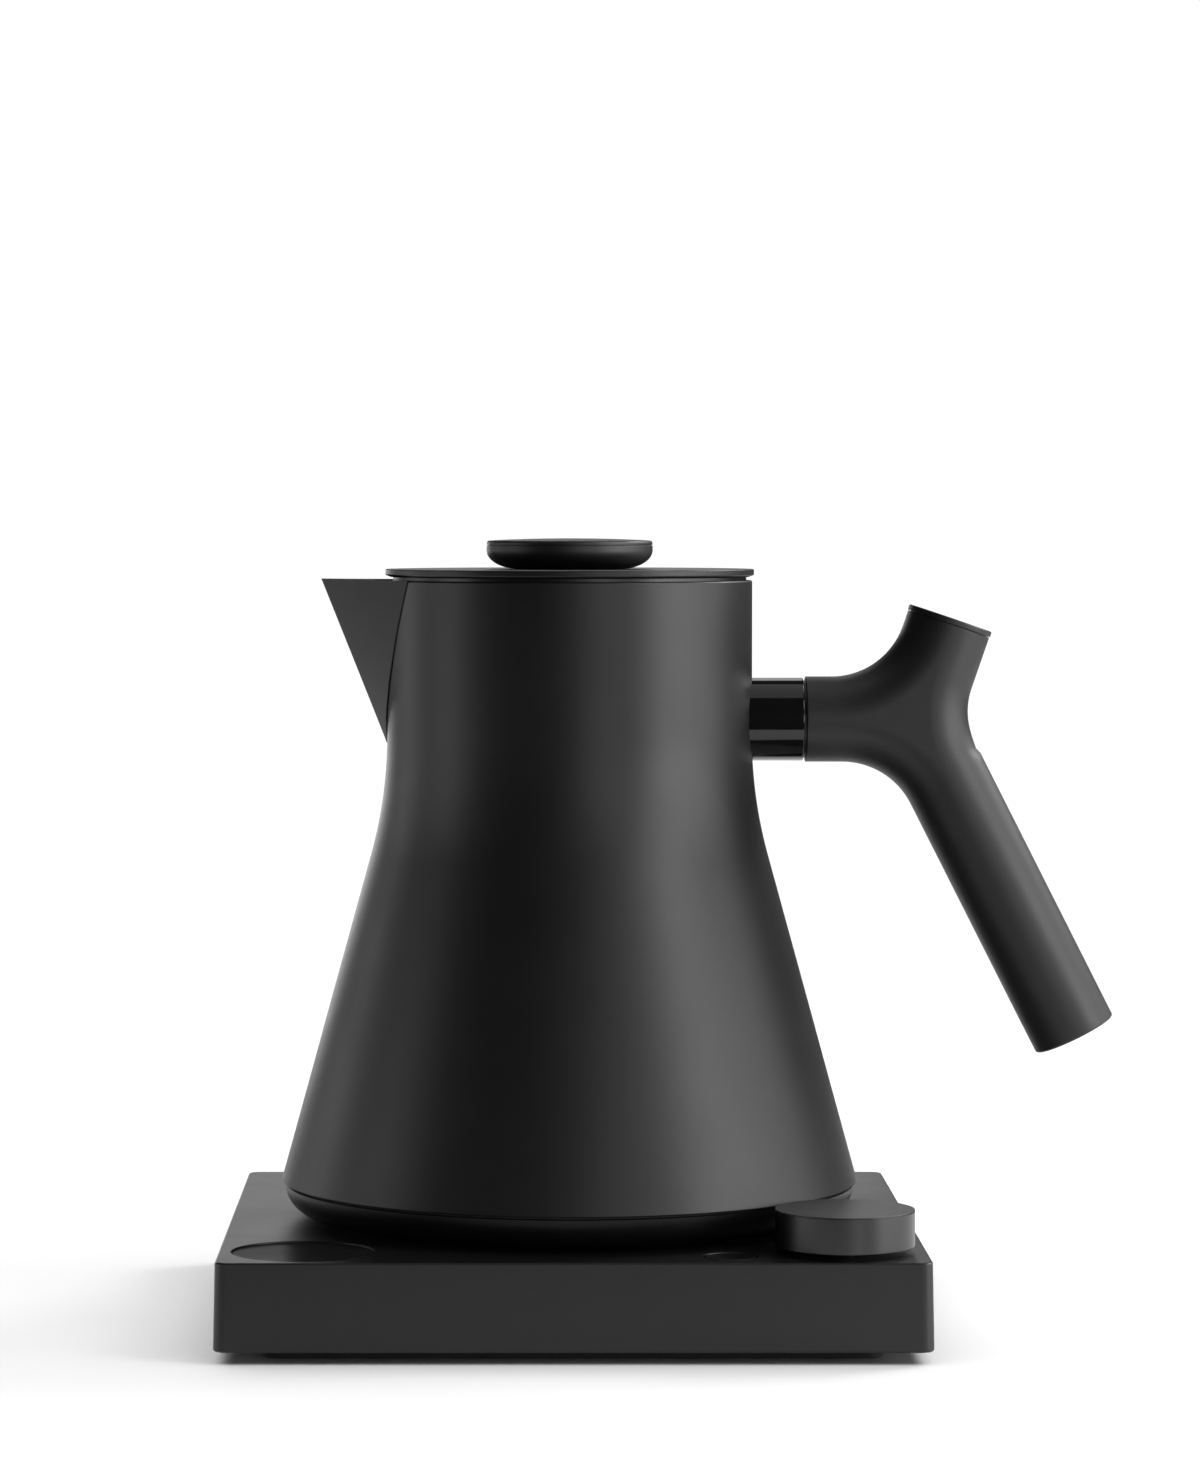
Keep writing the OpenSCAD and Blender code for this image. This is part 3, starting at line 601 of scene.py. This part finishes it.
def small_parts():
    """Fasteners, boards and inner parts keep their CAD shape with softened edges."""
    for node, bevel in (("base_screws", 0.3), ("cord_gland", 0.5), ("connector_contacts", 0.12),
                        ("display_module", 0.4), ("control_board", 0.1), ("power_board", 0.3),
                        ("relay", 0.4), ("encoder_body", 0.3), ("button_switch", 0.3),
                        ("encoder_plunger", 0.3), ("dial_shaft", 0.3), ("kettle_socket", 0.4),
                        ("socket_contacts", 0.12), ("heat_spreader", 0.3), ("heating_element", 0.3),
                        ("temperature_probe", 0.4), ("boil_dry_switch", 0.4), ("cup_screws", 0.3),
                        ("handle_stud", 0.3), ("counterweight", 0.5), ("handle_bolt", 0.3),
                        ("lid_screw", 0.4)):
        softened(node, MATERIAL_OF_SLOT[SLOT_OF[node]], bevel)


# ---------------------------------------------------------------- kettle

def shell_r(z):
    """Outer radius of the body at a height."""
    cone_z = NECK_Z - BLEND_R * math.sin(FLARE)
    if z >= NECK_Z:
        return NECK_R
    if z >= cone_z:
        return NECK_R + BLEND_R - math.sqrt(BLEND_R ** 2 - (NECK_Z - z) ** 2)
    return NECK_R + BLEND_R * (1 - math.cos(FLARE)) + (cone_z - z) * math.tan(FLARE)


def body_shell():
    """Drawn steel body: coated outside, bare inside, with a rolled rim, a lid ledge and pouring holes."""
    curl, foot_edge = SHEET / 2, 0.35
    # rings of the straight neck, of the curve below it and of the cone
    heights = [RIM_Z - curl, 175, 165, 155, NECK_Z]
    heights += [NECK_Z - BLEND_R * math.sin(FLARE) * k / 14 for k in range(1, 15)]
    heights += [105, 90, 75, 60, 45, SEAM_Z + foot_edge]
    outer = [(shell_r(z), z) for z in heights]
    inner = [(shell_r(z) - SHEET, z) for z in heights]
    rim = [(NECK_R - curl + curl * math.cos(a), RIM_Z - curl + curl * math.sin(a))
           for a in [math.pi * k / 8 for k in range(1, 8)]]
    foot = [(shell_r(SEAM_Z) - foot_edge, SEAM_Z), (shell_r(SEAM_Z) - SHEET, SEAM_Z)]
    ledge_z, ledge_w, ledge_t, span = RIM_Z - 15, 2.5, 1, 3
    inner_r = NECK_R - SHEET
    ledge_r = inner_r - ledge_w
    ledge = fillet([(inner_r, ledge_z + span, 0), (inner_r, ledge_z + ledge_t, 0.4),
                    (ledge_r, ledge_z + ledge_t, 0.45), (ledge_r, ledge_z, 0.45), (inner_r, ledge_z, 0.4),
                    (inner_r, ledge_z - span, 0)], False, 4)
    below = [(r, z) for r, z in inner[::-1] if z < ledge_z - span]
    above = [(r, z) for r, z in inner[::-1] if z > ledge_z + span]
    shell = lathe("body_shell_drawn", outer + foot + below + ledge[::-1] + above + rim[::-1], segments=256)
    hole_r, pitch, pitch_turn, first_row, hole_len = 1.9, 6, math.radians(9), SPOUT_Z + 9.5, 6
    holes = []
    for row in range(3):
        for i in range(row + 2):
            hole = drill("hole", hole_r, 0, hole_len, segments=40)
            turn = math.pi + pitch_turn * (i - (row + 1) / 2)
            place = ((NECK_R - hole_len / 2) * MM, 0, (first_row + pitch * row) * MM)
            hole.matrix_world = (Matrix.Rotation(turn, 4, "Z") @ Matrix.Translation(place)
                                 @ Matrix.Rotation(math.pi / 2, 4, "Y"))
            holes.append(hole)
    cut(shell, *holes)
    piece(shell, "body_shell", COAT, STEEL, degrees=28)
    # the second material, bare steel, goes on the faces inside
    for face in shell.data.polygons:
        c = face.center / MM
        inside = math.hypot(c.x, c.y) < shell_r(c.z) - SHEET * 0.6
        if inside and SEAM_Z + 0.05 < c.z < RIM_Z - 0.2:
            face.material_index = 1


def fold_point(u):
    """The spout's front fold, from its foot (u = 0) to its tip (u = 1), before the fold is rounded."""
    rounding = 0.3
    tip_z = high("spout")[2]
    tip_r = rounding - low("spout")[0]
    return Vector((-(NECK_R + (tip_r - NECK_R) * u), 0, SPOUT_Z + (tip_z - SPOUT_Z) * u))


def joint_point(u):
    """Where the spout's front side meets the body at the same level; the joint bows out a little."""
    bow = 0.86
    a = math.radians(SPOUT_SPREAD * u ** bow)
    return Vector((-NECK_R * math.cos(a), -NECK_R * math.sin(a), SPOUT_Z + (RIM_Z - SPOUT_Z) * u))


def fold_to_body(fold):
    """Distance from the fold back to a place a little way into the body's sheet."""
    into_sheet = 0.5
    return -fold.x - NECK_R + into_sheet


def across(point):
    """The point mirrored in the kettle's middle plane."""
    return Vector((point.x, -point.y, point.z))


def spout_level(u, wall, fold_r):
    """Outline of one level in plan: outside from joint to fold to joint, and the same along the inside.

    The outside stops short of the body, which leaves a fine dark groove along the joint.
    """
    groove_depth, groove_edge, widest_groove = 0.9, 0.15, 0.9
    # near the foot, where the side is short, the groove, the bend and the wall take shares of its length
    groove_share, bend_share, wall_share, back_share = 0.16, 0.4, 0.3, 0.8
    fold, joint = fold_point(u), joint_point(u)
    run = fold - joint
    length = run.length
    groove_w = min(widest_groove, length * groove_share)
    run.normalize()
    inward = Vector((-run.y, run.x, 0)).normalized()
    if inward.x < 0:
        inward = -inward
    half = math.atan2(abs(run.y), abs(run.x))
    reach = min(fold_r / math.tan(half), length * bend_share)
    start, end = joint + run * (groove_w + groove_edge), fold - run * reach
    side = [joint + inward * groove_depth, joint + run * groove_w + inward * groove_depth,
            joint + run * groove_w + inward * groove_edge, start]
    side += [start.lerp(end, k / 12) for k in range(1, 13)]
    bend = [end * (1 - t) ** 2 + fold * 2 * t * (1 - t) + across(end) * t ** 2 for t in (0.25, 0.5, 0.75)]
    outside = side + bend + [across(point) for point in side[::-1]]
    back = min(wall / math.sin(half), fold_to_body(fold) * back_share)
    inner_fold = fold + Vector((back, 0, 0))
    inner_joint = joint + inward * min(wall, length * wall_share)
    inner_side = [inner_joint.lerp(inner_fold, k / 16) for k in range(16)]
    inside = inner_side + [inner_fold] + [across(point) for point in inner_side[::-1]]
    return outside, inside


def spout():
    """Folded prow of sheet steel with a tight fold, a soft upper edge and a fine groove at the body."""
    levels, first = 40, 0.012
    wall, fold_r, lip_edge = 1.0, 0.9, 0.25
    rows = [spout_level(first + (1 - first) * level / levels, wall, fold_r) for level in range(levels + 1)]
    outside = [point for outer, inner in rows for point in outer]
    inside = [point for outer, inner in rows for point in inner]
    n_out, n_in = len(rows[0][0]), len(rows[0][1])
    out_rows = [level * n_out for level in range(levels + 1)]
    in_rows = [len(outside) + level * n_in for level in range(levels + 1)]
    faces = []
    for a, b in zip(out_rows, out_rows[1:]):
        faces += [(a + i, a + i + 1, b + i + 1, b + i) for i in range(n_out - 1)]
    for c, d in zip(in_rows, in_rows[1:]):
        faces += [(c + i + 1, c + i, d + i, d + i + 1) for i in range(n_in - 1)]
    # the strips along the two joints
    for a, b, c, d in zip(out_rows, out_rows[1:], in_rows, in_rows[1:]):
        faces.append((a, b, d, c))
        faces.append((b + n_out - 1, a + n_out - 1, c + n_in - 1, d + n_in - 1))
    # the foot and the upper edge
    for level, way in ((0, -1), (levels, 1)):
        loop = [out_rows[level] + i for i in range(n_out)] + [in_rows[level] + i for i in range(n_in)][::-1]
        faces.append(tuple(loop[::way]))
    obj = add_object("spout_folded", outside + inside, faces)
    tidy_normals(obj)
    modifier = obj.modifiers.new("soft lip", "BEVEL")
    modifier.width = lip_edge * MM
    modifier.segments = 3
    modifier.limit_method = "ANGLE"
    modifier.angle_limit = math.radians(60)
    modifier.use_clamp_overlap = True
    piece(obj, "spout", COAT, degrees=40)


def bottom_cup():
    """Satin cup that curves in under the body, with an opening for the socket and screw recesses."""
    z0, z1, r = round_box("bottom_cup")
    curve, wall, edge = z1 - z0, 2, 0.25
    opening_r, opening_edge = 22.6, 0.4
    outer = [(r - curve * (1 - math.cos(a)), z1 - curve * math.sin(a))
             for a in [math.pi / 2 * k / 16 for k in range(17)]]
    outer[0] = (r, z1 - edge)
    inner = [(r - curve + (curve - wall) * math.cos(a), z1 - (curve - wall) * math.sin(a))
             for a in [math.pi / 2 * k / 10 for k in range(10, -1, -1)]]
    opening = [(opening_r + opening_edge, z0), (opening_r, z0 + opening_edge), (opening_r, z0 + wall)]
    cup = lathe("bottom_cup_formed", outer + opening + inner + [(r - edge, z1)], segments=256)
    screws_r, head_r, shank_r = 54, 3, 1.7
    head_z = z0 + 1.2
    recess = [(0, z0 - 1), (head_r, z0 - 1), (head_r, head_z), (shank_r, head_z), (shank_r, z0 + 4),
              (0, z0 + 4)]
    cut(cup, *[lathe("cup_hole", recess, (screws_r * math.cos(a), screws_r * math.sin(a)), 48, False)
               for a in [math.radians(degrees) for degrees in (30, 150, 270)]])
    piece(cup, "bottom_cup", CUP, degrees=30)


def base_seal():
    """Thin rubber ring in the seam."""
    z0, z1, r = round_box("base_seal")
    inner_r = r - 1.7
    turned("base_seal", [(inner_r, z0, 0), (r, z0, 0.1), (r, z1, 0.1), (inner_r, z1, 0)],
           SEAL_RUBBER, segments=256)


def floor_plate():
    """Pressed floor with a shallow step near its edge, a rounded corner at the wall and the probe's hole."""
    z0, z1, r = round_box("floor_plate")
    step_r, step_w, step_z = 58, 1.5, z1 - 0.25
    probe_r, probe_y = 3.1, 32
    section = fillet([(0, z0, 0), (r - 0.05, z0, 0), (r - 0.3, z1, 0.2), (step_r, z1, 0),
                      (step_r - step_w, step_z, 0.5), (0, step_z, 0)], True)
    plate = lathe("floor_plate_pressed", section, segments=192)
    cut(plate, drill("probe_hole", probe_r, z0 - 1, z1 + 1, (0, probe_y)))
    piece(plate, "floor_plate", STEEL, degrees=30)


# ---------------------------------------------------------------- handle

# leans of the three arms from the vertical, and how far the hub's flat sides reach along each
REAR, UPPER, GRIP = -math.pi / 2, UPPER_LEAN, math.pi - GRIP_LEAN
HUB_REACH = {REAR: 21.3, UPPER: 21.3, GRIP: 18.6}


def arm_direction(lean):
    """Unit vector along an arm that leans by this angle from the vertical, clockwise seen from the front."""
    return Vector((math.sin(lean), 0, math.cos(lean)))


def arm_side(lean_a, lean_b, fillet_r, stops_a, stops_b):
    """One side of the handle's outline: in along the first arm, round the fillet, out along the second.

    Gives (point, inward normal) pairs. The stops are the distances from the hub where the straight parts
    are sampled; the side across the arm uses the same ones.
    """
    clear, turn_step = 0.05, 2.5
    half = (lean_b - lean_a) / 2
    reach = (ARM_R + fillet_r) / math.tan(half)
    centre = HUB + arm_direction((lean_a + lean_b) / 2) * (ARM_R + fillet_r) / math.sin(half)
    along_a, along_b = arm_direction(lean_a), arm_direction(lean_b)
    in_a, in_b = -arm_direction(lean_a + math.pi / 2), arm_direction(lean_b + math.pi / 2)
    side = [(HUB + along_a * d - in_a * ARM_R, in_a)
            for d in sorted(stops_a, reverse=True) if d > reach + clear]
    turn = math.pi - 2 * half
    steps = max(8, int(math.degrees(turn) / turn_step))
    for k in range(steps + 1):
        spoke = Matrix.Rotation(-turn * k / steps, 3, "Y") @ in_a
        side.append((centre + spoke * fillet_r, spoke))
    side += [(HUB + along_b * d - in_b * ARM_R, in_b) for d in sorted(stops_b) if d > reach + clear]
    return side


def shoulder_recess(point):
    """Depth of the shallow scoop behind the hub, which ends in a small step at the top of the grip."""
    top, deepest, end, depth = 148.5, 142.4, 141.3, 0.55
    if point.x < HUB.x or point.z > top or point.z < end:
        return 0.0
    if point.z > deepest:
        return depth * ((top - point.z) / (top - deepest)) ** 2
    t = (point.z - end) / (deepest - end)
    return depth * t * t * (3 - 2 * t)


def inside_hub(point, inward):
    """Whether the axis point behind this point of the outline is in the hub, where the sides part."""
    foot = point + inward * ARM_R - HUB
    return all(foot.dot(arm_direction(lean)) < limit for lean, limit in HUB_REACH.items())


def round_end(verts, faces, loop, lean, length, radius, steps=5):
    """Closes a round arm with a small rounded edge and a flat end."""
    axis = arm_direction(lean)
    centre = HUB + axis * (length - radius)
    n = len(loop)
    previous = loop
    for k in range(1, steps + 1):
        angle = math.pi / 2 * k / steps
        shrink = 1 - radius * (1 - math.cos(angle)) / ARM_R
        ring = []
        for index in loop:
            place = centre + (Vector(verts[index]) - centre) * shrink + axis * radius * math.sin(angle)
            ring.append(len(verts))
            verts.append(tuple(place))
        faces += [(previous[i], previous[(i + 1) % n], ring[(i + 1) % n], ring[i]) for i in range(n)]
        previous = ring
    faces.append(tuple(previous))


def handle_body():
    """Moulded handle: three round arms whose sides flow into each other and whose hub is flat in front."""
    neck_gap, cap_gap = 0.55, 0.15
    rear_len = HUB.x - low("handle_body")[0] - neck_gap
    upper_len = UPPER_LEN - CAP_T - cap_gap
    rear_edge, upper_edge, grip_edge = 0.25, 0.12, 0.6
    fine, coarse = 0.8, 1.6
    rear_stops = [rear_len - rear_edge - fine * k for k in range(20)]
    upper_stops = [upper_len - upper_edge - fine * k for k in range(20)]
    grip_stops = [GRIP_LEN - grip_edge - coarse * k for k in range(49)]
    # closer together at the top of the grip, where the scoop ends in its step
    step_start, step_fine = 8, 0.2
    grip_stops += [step_start + step_fine * k for k in range(20)]
    front_web, back_web, lower_web = 19.0, 17.3, 19.5
    sides = [arm_side(REAR, UPPER, front_web, rear_stops, upper_stops),
             arm_side(UPPER, GRIP, back_web, upper_stops, grip_stops),
             arm_side(GRIP, REAR + 2 * math.pi, lower_web, grip_stops, rear_stops)]
    around = 24
    row = around + 1
    phis = [math.radians(-90 + 180 * j / around) for j in range(row)]
    verts, faces, first_row = [], [], []
    for side in sides:
        first_row.append(len(verts))
        for point, inward in side:
            recess = shoulder_recess(point)
            for phi in phis:
                place = point + inward * (ARM_R * (1 - math.cos(phi)) + recess * math.cos(phi) ** 3)
                verts.append((place.x, ARM_R * math.sin(phi), place.z))
        for i in range(len(side) - 1):
            start = first_row[-1] + i * row
            faces += [(start + j, start + j + 1, start + row + j + 1, start + row + j) for j in range(around)]
    # flat front and back of the hub, inside the three fillets
    for j in (0, around):
        loop = []
        for start, side in zip(first_row, sides):
            loop += [start + i * row + j
                     for i, (point, inward) in enumerate(side) if inside_hub(point, inward)]
        faces.append(tuple(loop if j else loop[::-1]))
    # each arm's end: half of it starts one side, the other half ends the side before
    ends = ((0, 2, REAR, rear_len, rear_edge), (1, 0, UPPER, upper_len, upper_edge),
            (2, 1, GRIP, GRIP_LEN, grip_edge))
    for opens, closes, lean, length, edge in ends:
        last = first_row[closes] + (len(sides[closes]) - 1) * row
        head = [first_row[opens] + j for j in range(row)]
        tail = [last + j for j in range(row)][::-1]
        round_end(verts, faces, head + tail[1:-1], lean, length, edge)
    obj = add_object("handle_body_moulded", verts, faces)
    bm = bmesh.new()
    bm.from_mesh(obj.data)
    bmesh.ops.remove_doubles(bm, verts=bm.verts, dist=2e-6)
    bmesh.ops.recalc_face_normals(bm, faces=bm.faces)
    bm.to_mesh(obj.data)
    bm.free()
    piece(obj, "handle_body", HANDLE, degrees=40)


def along_x(outline, name, segments=96):
    """Turns a section of (r, x) points about the handle's horizontal axis."""
    obj = lathe(name, outline, segments=segments)
    obj.data.transform(Matrix.Translation((0, 0, HUB.z * MM)) @ Matrix.Rotation(math.pi / 2, 4, "Y"))
    return obj


def handle_collar():
    """Gloss collar, shaped to the body at one end, and the dark neck between it and the handle."""
    end = high("handle_collar")[0]
    r = width("handle_collar", 2) / 2
    start, bore_r = 40, 5.1
    outline = fillet([(bore_r, start, 0), (r, start, 0), (r, end, 0.3), (bore_r, end, 0)], True)
    collar = along_x(outline, "handle_collar_polished", 128)
    # the end at the body follows the round neck
    for vertex in collar.data.vertices:
        if vertex.co.x < (end - 3) * MM:
            vertex.co.x = math.sqrt((NECK_R * MM) ** 2 - vertex.co.y ** 2)
    piece(collar, "handle_collar", GLOSS)
    neck_in, neck_out = 5.2, r - 0.7
    neck_start, neck_end = end - 0.4, end + 0.8
    neck = along_x([(neck_in, neck_start), (neck_out, neck_start), (neck_out, neck_end), (neck_in, neck_end)],
                   "handle_neck")
    neck.data.materials.append(DARK)
    smooth(neck)
    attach(neck, "kettle")


def handle_cap():
    """Thin cap on the upper arm, a little wider than the arm, with a fine seam below it."""
    r, top = ARM_R + 0.15, UPPER_LEN
    seam = top - CAP_T
    plug_r, plug_z = 7, seam - 1.5
    groove_r, groove_z = ARM_R - 0.7, seam - 0.3
    outline = fillet([(0, plug_z, 0), (plug_r, plug_z, 0), (plug_r, groove_z, 0), (groove_r, groove_z, 0),
                      (groove_r, seam, 0), (r, seam, 0.1), (r, top, 0.35), (0, top, 0)], True)
    cap = lathe("handle_cap_turned", outline, segments=128)
    cap.data.transform(Matrix.Translation(HUB * MM) @ Matrix.Rotation(UPPER_LEAN, 4, "Y"))
    piece(cap, "handle_cap", HANDLE)


# ---------------------------------------------------------------- lid

def lid_plate():
    """Flat coated disc whose lower edge is bevelled."""
    z0, z1, r = round_box("lid_disc")
    bore_r, bevel_w, bevel_h = 2.2, 1.4, 0.5
    turned("lid_disc", [(bore_r, z0, 0), (r - bevel_w, z0, 0.3), (r, z0 + bevel_h, 0.35), (r, z1, 0.3),
                        (bore_r, z1, 0)], COAT, centre=(0, 0), segments=256)


def lid_skirt():
    """Ring under the lid with a groove for the gasket."""
    z0, z1, r = round_box("lid_skirt")
    inner_r, groove_r = r - 1.5, r - 0.8
    groove_z, groove_top = z0 + 3, z0 + 7
    turned("lid_skirt", [(inner_r, z0, 0.3), (r, z0, 0.4), (r, groove_z, 0.1), (groove_r, groove_z, 0),
                         (groove_r, groove_top, 0), (r, groove_top, 0.1), (r, z1, 0), (inner_r, z1, 0)],
           SKIRT, centre=(0, 0), segments=256)


def lid_gasket():
    """Rubber band in the skirt's groove with two round ribs."""
    z0 = low("lid_gasket")[2]
    r = width("lid_skirt") / 2
    inner_r, rib_r, band = r - 0.8, r + 0.45, 4
    ribs = []
    for z in (z0 + 0.4, z0 + 2.8):
        ribs += [(r, z, 0), (rib_r, z + 0.15, 0.15), (rib_r, z + 0.65, 0.15), (r, z + 0.8, 0)]
    turned("lid_gasket", [(inner_r, z0, 0), (r, z0, 0)] + ribs + [(r, z0 + band, 0), (inner_r, z0 + band, 0)],
           GASKET_RUBBER, centre=(0, 0), segments=192)


def lid_pull():
    """Bowl-shaped pull, hollow inside, and the slightly domed cap in it."""
    z0, z1, r = round_box("lid_pull")
    swell, side_z = 8.0, z1 - 1.2
    side = [(r - swell * (1 - math.cos(a)), side_z + (side_z - z0) * math.sin(a), 0)
            for a in [math.radians(-90 + 4.5 * k) for k in range(21)]]
    bore_r, post_r, bowl_r, bowl_z = 1.55, 4.5, r - 6, z0 + 1.4
    turned("lid_pull", [(bore_r, z0, 0)] + side + [(r, z1, 0.12), (bowl_r, z1, 0.3), (bowl_r, bowl_z, 0.8),
                                                   (post_r, bowl_z, 0.5), (post_r, z1, 0.2), (bore_r, z1, 0)],
           HANDLE, centre=(0, 0), segments=192)
    cap_z, top = low("lid_pull_cap")[2] - 0.06, high("lid_pull_cap")[2]
    plug_r, plug_z, cap_r, dome = r - 0.4, z1 + 0.01, r - 0.05, 0.55
    crown = [(t * r, top - dome * t * t, 0) for t in [k / 10 for k in range(9, -1, -1)]]
    turned("lid_pull_cap", [(0, plug_z, 0), (plug_r, plug_z, 0), (plug_r, cap_z, 0), (cap_r, cap_z, 0.08),
                            (cap_r, top - 0.62, 0.6)] + crown,
           HANDLE, centre=(0, 0), segments=192)


# ---------------------------------------------------------------- studio

def aim(obj, target):
    """Points an object's -Z axis at a place."""
    direction = Vector(target) - obj.location
    obj.rotation_euler = direction.to_track_quat("-Z", "Y").to_euler()


def softbox(name, around, up, size, power):
    """A round softbox facing the kettle: degrees round from the front, degrees up, size in m, power in W."""
    distance, target = 1.25, Vector((0, 0, 0.1))
    data = bpy.data.lights.new(name, "AREA")
    data.shape = "DISK"
    data.size = size
    data.energy = power
    light = bpy.data.objects.new(name, data)
    bpy.context.scene.collection.objects.link(light)
    turn, rise = math.radians(around), math.radians(up)
    light.location = target + distance * Vector((math.sin(turn) * math.cos(rise),
                                                 -math.cos(turn) * math.cos(rise), math.sin(rise)))
    aim(light, target)
    light.visible_camera = False
    return light


def camera():
    """Long lens from the front, slightly above, with the kettle itself left of the middle."""
    place, down = (-0.01703, -1.2458, 0.1997), 2.461
    data = bpy.data.cameras.new("camera")
    data.sensor_width = 36.0
    data.lens = 121.4724
    data.shift_x = 0.0669
    data.clip_end = 50
    cam = bpy.data.objects.new("camera", data)
    bpy.context.scene.collection.objects.link(cam)
    cam.location = place
    cam.rotation_euler = (math.radians(90 - down), 0, 0)
    bpy.context.scene.camera = cam


def floor():
    """Plain table top; its front edge is near enough to stay out of the dark fronts' reflections."""
    material, _, bsdf = shader("table_top", (0.4, 0.4, 0.4), 0.9)
    bsdf.inputs["Specular IOR Level"].default_value = 0.1
    side, front, back = 700, -290, 700
    plane = add_object("floor", [(-side, front, 0), (side, front, 0), (side, back, 0), (-side, back, 0)],
                       [(0, 1, 2, 3)])
    plane.data.materials.append(material)
    return plane


def world():
    """White to the camera, nearly black to everything else, as in a dark studio with a lit backdrop."""
    backdrop, room, white = 1.05, 0.03, (1, 1, 1, 1)
    scene = bpy.context.scene
    scene.world = bpy.data.worlds.new("studio")
    scene.world.use_nodes = True
    tree = scene.world.node_tree
    tree.nodes.clear()
    out = tree.nodes.new("ShaderNodeOutputWorld")
    mix = tree.nodes.new("ShaderNodeMixShader")
    rays = tree.nodes.new("ShaderNodeLightPath")
    tree.links.new(rays.outputs["Is Camera Ray"], mix.inputs["Fac"])
    for socket, strength in ((1, room), (2, backdrop)):
        background = tree.nodes.new("ShaderNodeBackground")
        background.inputs["Strength"].default_value = strength
        background.inputs["Color"].default_value = white
        tree.links.new(background.outputs["Background"], mix.inputs[socket])
    tree.links.new(mix.outputs["Shader"], out.inputs["Surface"])
    scene.view_settings.view_transform = "Standard"


def lights(table):
    """Softboxes round the kettle, strong on the right and faint elsewhere, and a fill for the table alone."""
    raised, level, above = 34, 5, 89
    large, small = 0.55, 0.44
    softbox("right_back_high", 120, raised, large, 11.9)
    softbox("right_high", 60, raised, large, 6.5)
    softbox("right_low", 60, level, small, 4.6)
    softbox("right_side_low", 80, level, small, 2.9)
    softbox("right_back_low", 100, level, small, 1.4)
    softbox("front_low", 20, level, small, 1.8)
    softbox("left_side_low", 280, level, small, 1.6)
    softbox("left_back_low", 240, level, small, 1.0)
    softbox("back_low", 200, level, small, 1.7)
    softbox("back_high", 180, raised, large, 1.0)
    softbox("behind_low", 180, level, small, 0.65)
    softbox("overhead", 0, above, 1.2, 2.2)
    table_fill = softbox("table_fill", 0, above, 4.0, 146)
    lit_by_fill = bpy.data.collections.new("lit_by_fill")
    lit_by_fill.objects.link(table)
    table_fill.light_linking.receiver_collection = lit_by_fill


camera()
world()
lights(floor())
base_housing()
bottom_plate()
foot_ring()
display_window()
menu_button()
dial()
connector()
small_parts()
body_shell()
spout()
bottom_cup()
base_seal()
floor_plate()
handle_body()
handle_collar()
handle_cap()
lid_plate()
lid_skirt()
lid_gasket()
lid_pull()
